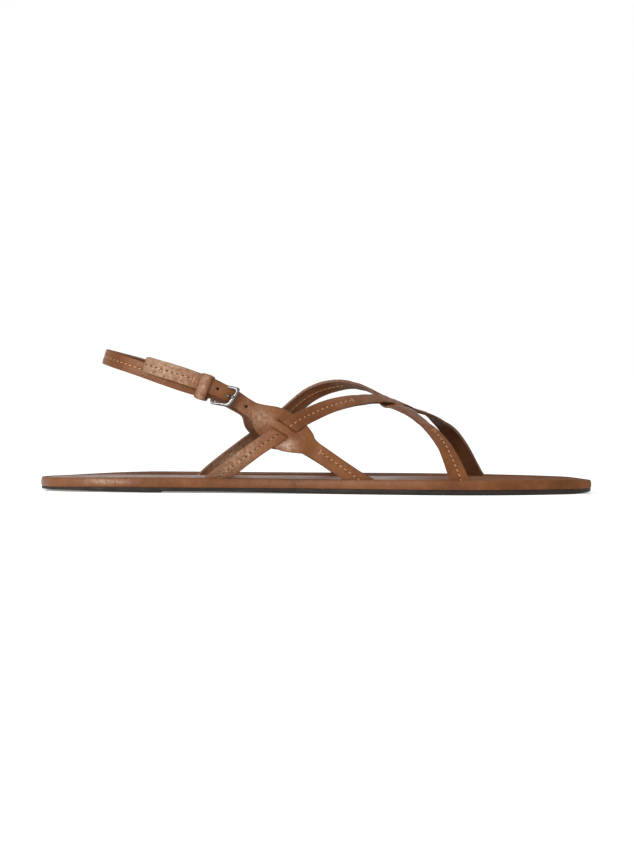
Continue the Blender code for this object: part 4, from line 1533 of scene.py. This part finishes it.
def white_sweep(nodes, links):
    """Studio round the shoe: a white sweep low down, and a dimmer ceiling above it."""
    coords = nodes.new("ShaderNodeTexCoord")
    height = nodes.new("ShaderNodeSeparateXYZ")
    ramp = nodes.new("ShaderNodeValToRGB")
    ramp.color_ramp.elements[0].position = SWEEP_TOP
    ramp.color_ramp.elements[0].color = (1.0, 1.0, 1.0, 1.0)
    ramp.color_ramp.elements[1].position = CEILING_START
    ramp.color_ramp.elements[1].color = (CEILING, CEILING, CEILING, 1.0)
    links.new(coords.outputs["Generated"], height.inputs["Vector"])
    links.new(height.outputs["Z"], ramp.inputs["Fac"])
    links.new(ramp.outputs["Color"], nodes["Background"].inputs["Color"])


def add_light(lamp, spot, power):
    """Put a lamp at a spot, shining at the shoe, out of sight of the camera."""
    lamp.energy = power
    light = bpy.data.objects.new(lamp.name, lamp)
    light.location = spot
    light.rotation_euler = (-Vector(spot)).to_track_quat("-Z", "Y").to_euler()
    light.visible_camera = False
    bpy.context.collection.objects.link(light)


def light_studio():
    world = bpy.data.worlds.new("white_studio")
    world.use_nodes = True
    white_sweep(world.node_tree.nodes, world.node_tree.links)
    bpy.context.scene.world = world
    soft_box = bpy.data.lights.new("soft_box", "AREA")
    soft_box.size = KEY_SIZE
    add_light(soft_box, KEY_SPOT, KEY_POWER)
    overhead = bpy.data.lights.new("overhead", "SUN")
    overhead.angle = radians(TOP_ANGLE)
    add_light(overhead, TOP_SPOT, TOP_POWER)
    bpy.context.scene.view_settings.view_transform = "Standard"


def place_camera():
    """Camera on the photo's line of sight, rolled as the photo is."""
    up = Vector((0.0, sin(CAMERA_PITCH), cos(CAMERA_PITCH)))
    ahead = Vector((0.0, cos(CAMERA_PITCH), -sin(CAMERA_PITCH)))
    right = Vector((1.0, 0.0, 0.0))
    tilted_right = right * cos(CAMERA_ROLL) + up * sin(CAMERA_ROLL)
    tilted_up = up * cos(CAMERA_ROLL) - right * sin(CAMERA_ROLL)
    turn = Matrix((tilted_right, tilted_up, -ahead)).transposed().to_4x4()
    spot = (Vector((0.0, 0.0, CAMERA_TARGET_UP)) - ahead * CAMERA_DISTANCE) * MM
    lens = bpy.data.cameras.new("camera")
    lens.sensor_width = SENSOR
    lens.lens = SENSOR * CAMERA_DISTANCE / FRAME_HIGH
    lens.clip_end = CAMERA_SEES_TO
    camera = bpy.data.objects.new("camera", lens)
    camera.matrix_world = Matrix.Translation(spot) @ turn
    bpy.context.collection.objects.link(camera)
    bpy.context.scene.camera = camera


def build():
    strap = tan_leather("leather_strap", STRAP_TONES, (0.36, 0.52), 0.25, wrinkled=True)
    lining = tan_leather("leather_lining", LINING_TONES, (0.55, 0.70), 0.2)
    footbed = tan_leather("leather_footbed", FOOTBED_TONES, (0.34, 0.50), 0.25)
    sock = tan_leather("leather_sock", SOCK_TONES, (0.26, 0.40), 0.12)
    leathers = [strap, cut_edge(), lining]
    rubber = black_rubber()
    metal = silver_metal()
    build_outsole(rubber)
    build_heel_lift(rubber)
    build_footbed(footbed)
    build_sock(sock)
    sewing = Sewing()
    build_upper(leathers, sewing)
    sling = Route(HEEL_SLING, round_the_heel)
    tail = Route(OUTER_LEAF_STRAP)
    buckle = BuckleFrame(sling, tail)
    build_sling(leathers, sewing, sling, buckle)
    build_buckle(metal, buckle)
    build_prong(metal, buckle)
    build_keeper(leathers, tail, sling)
    sewing.finish(waxed_thread(), hole_shade_finish())
    build_floor()
    light_studio()
    place_camera()


build()
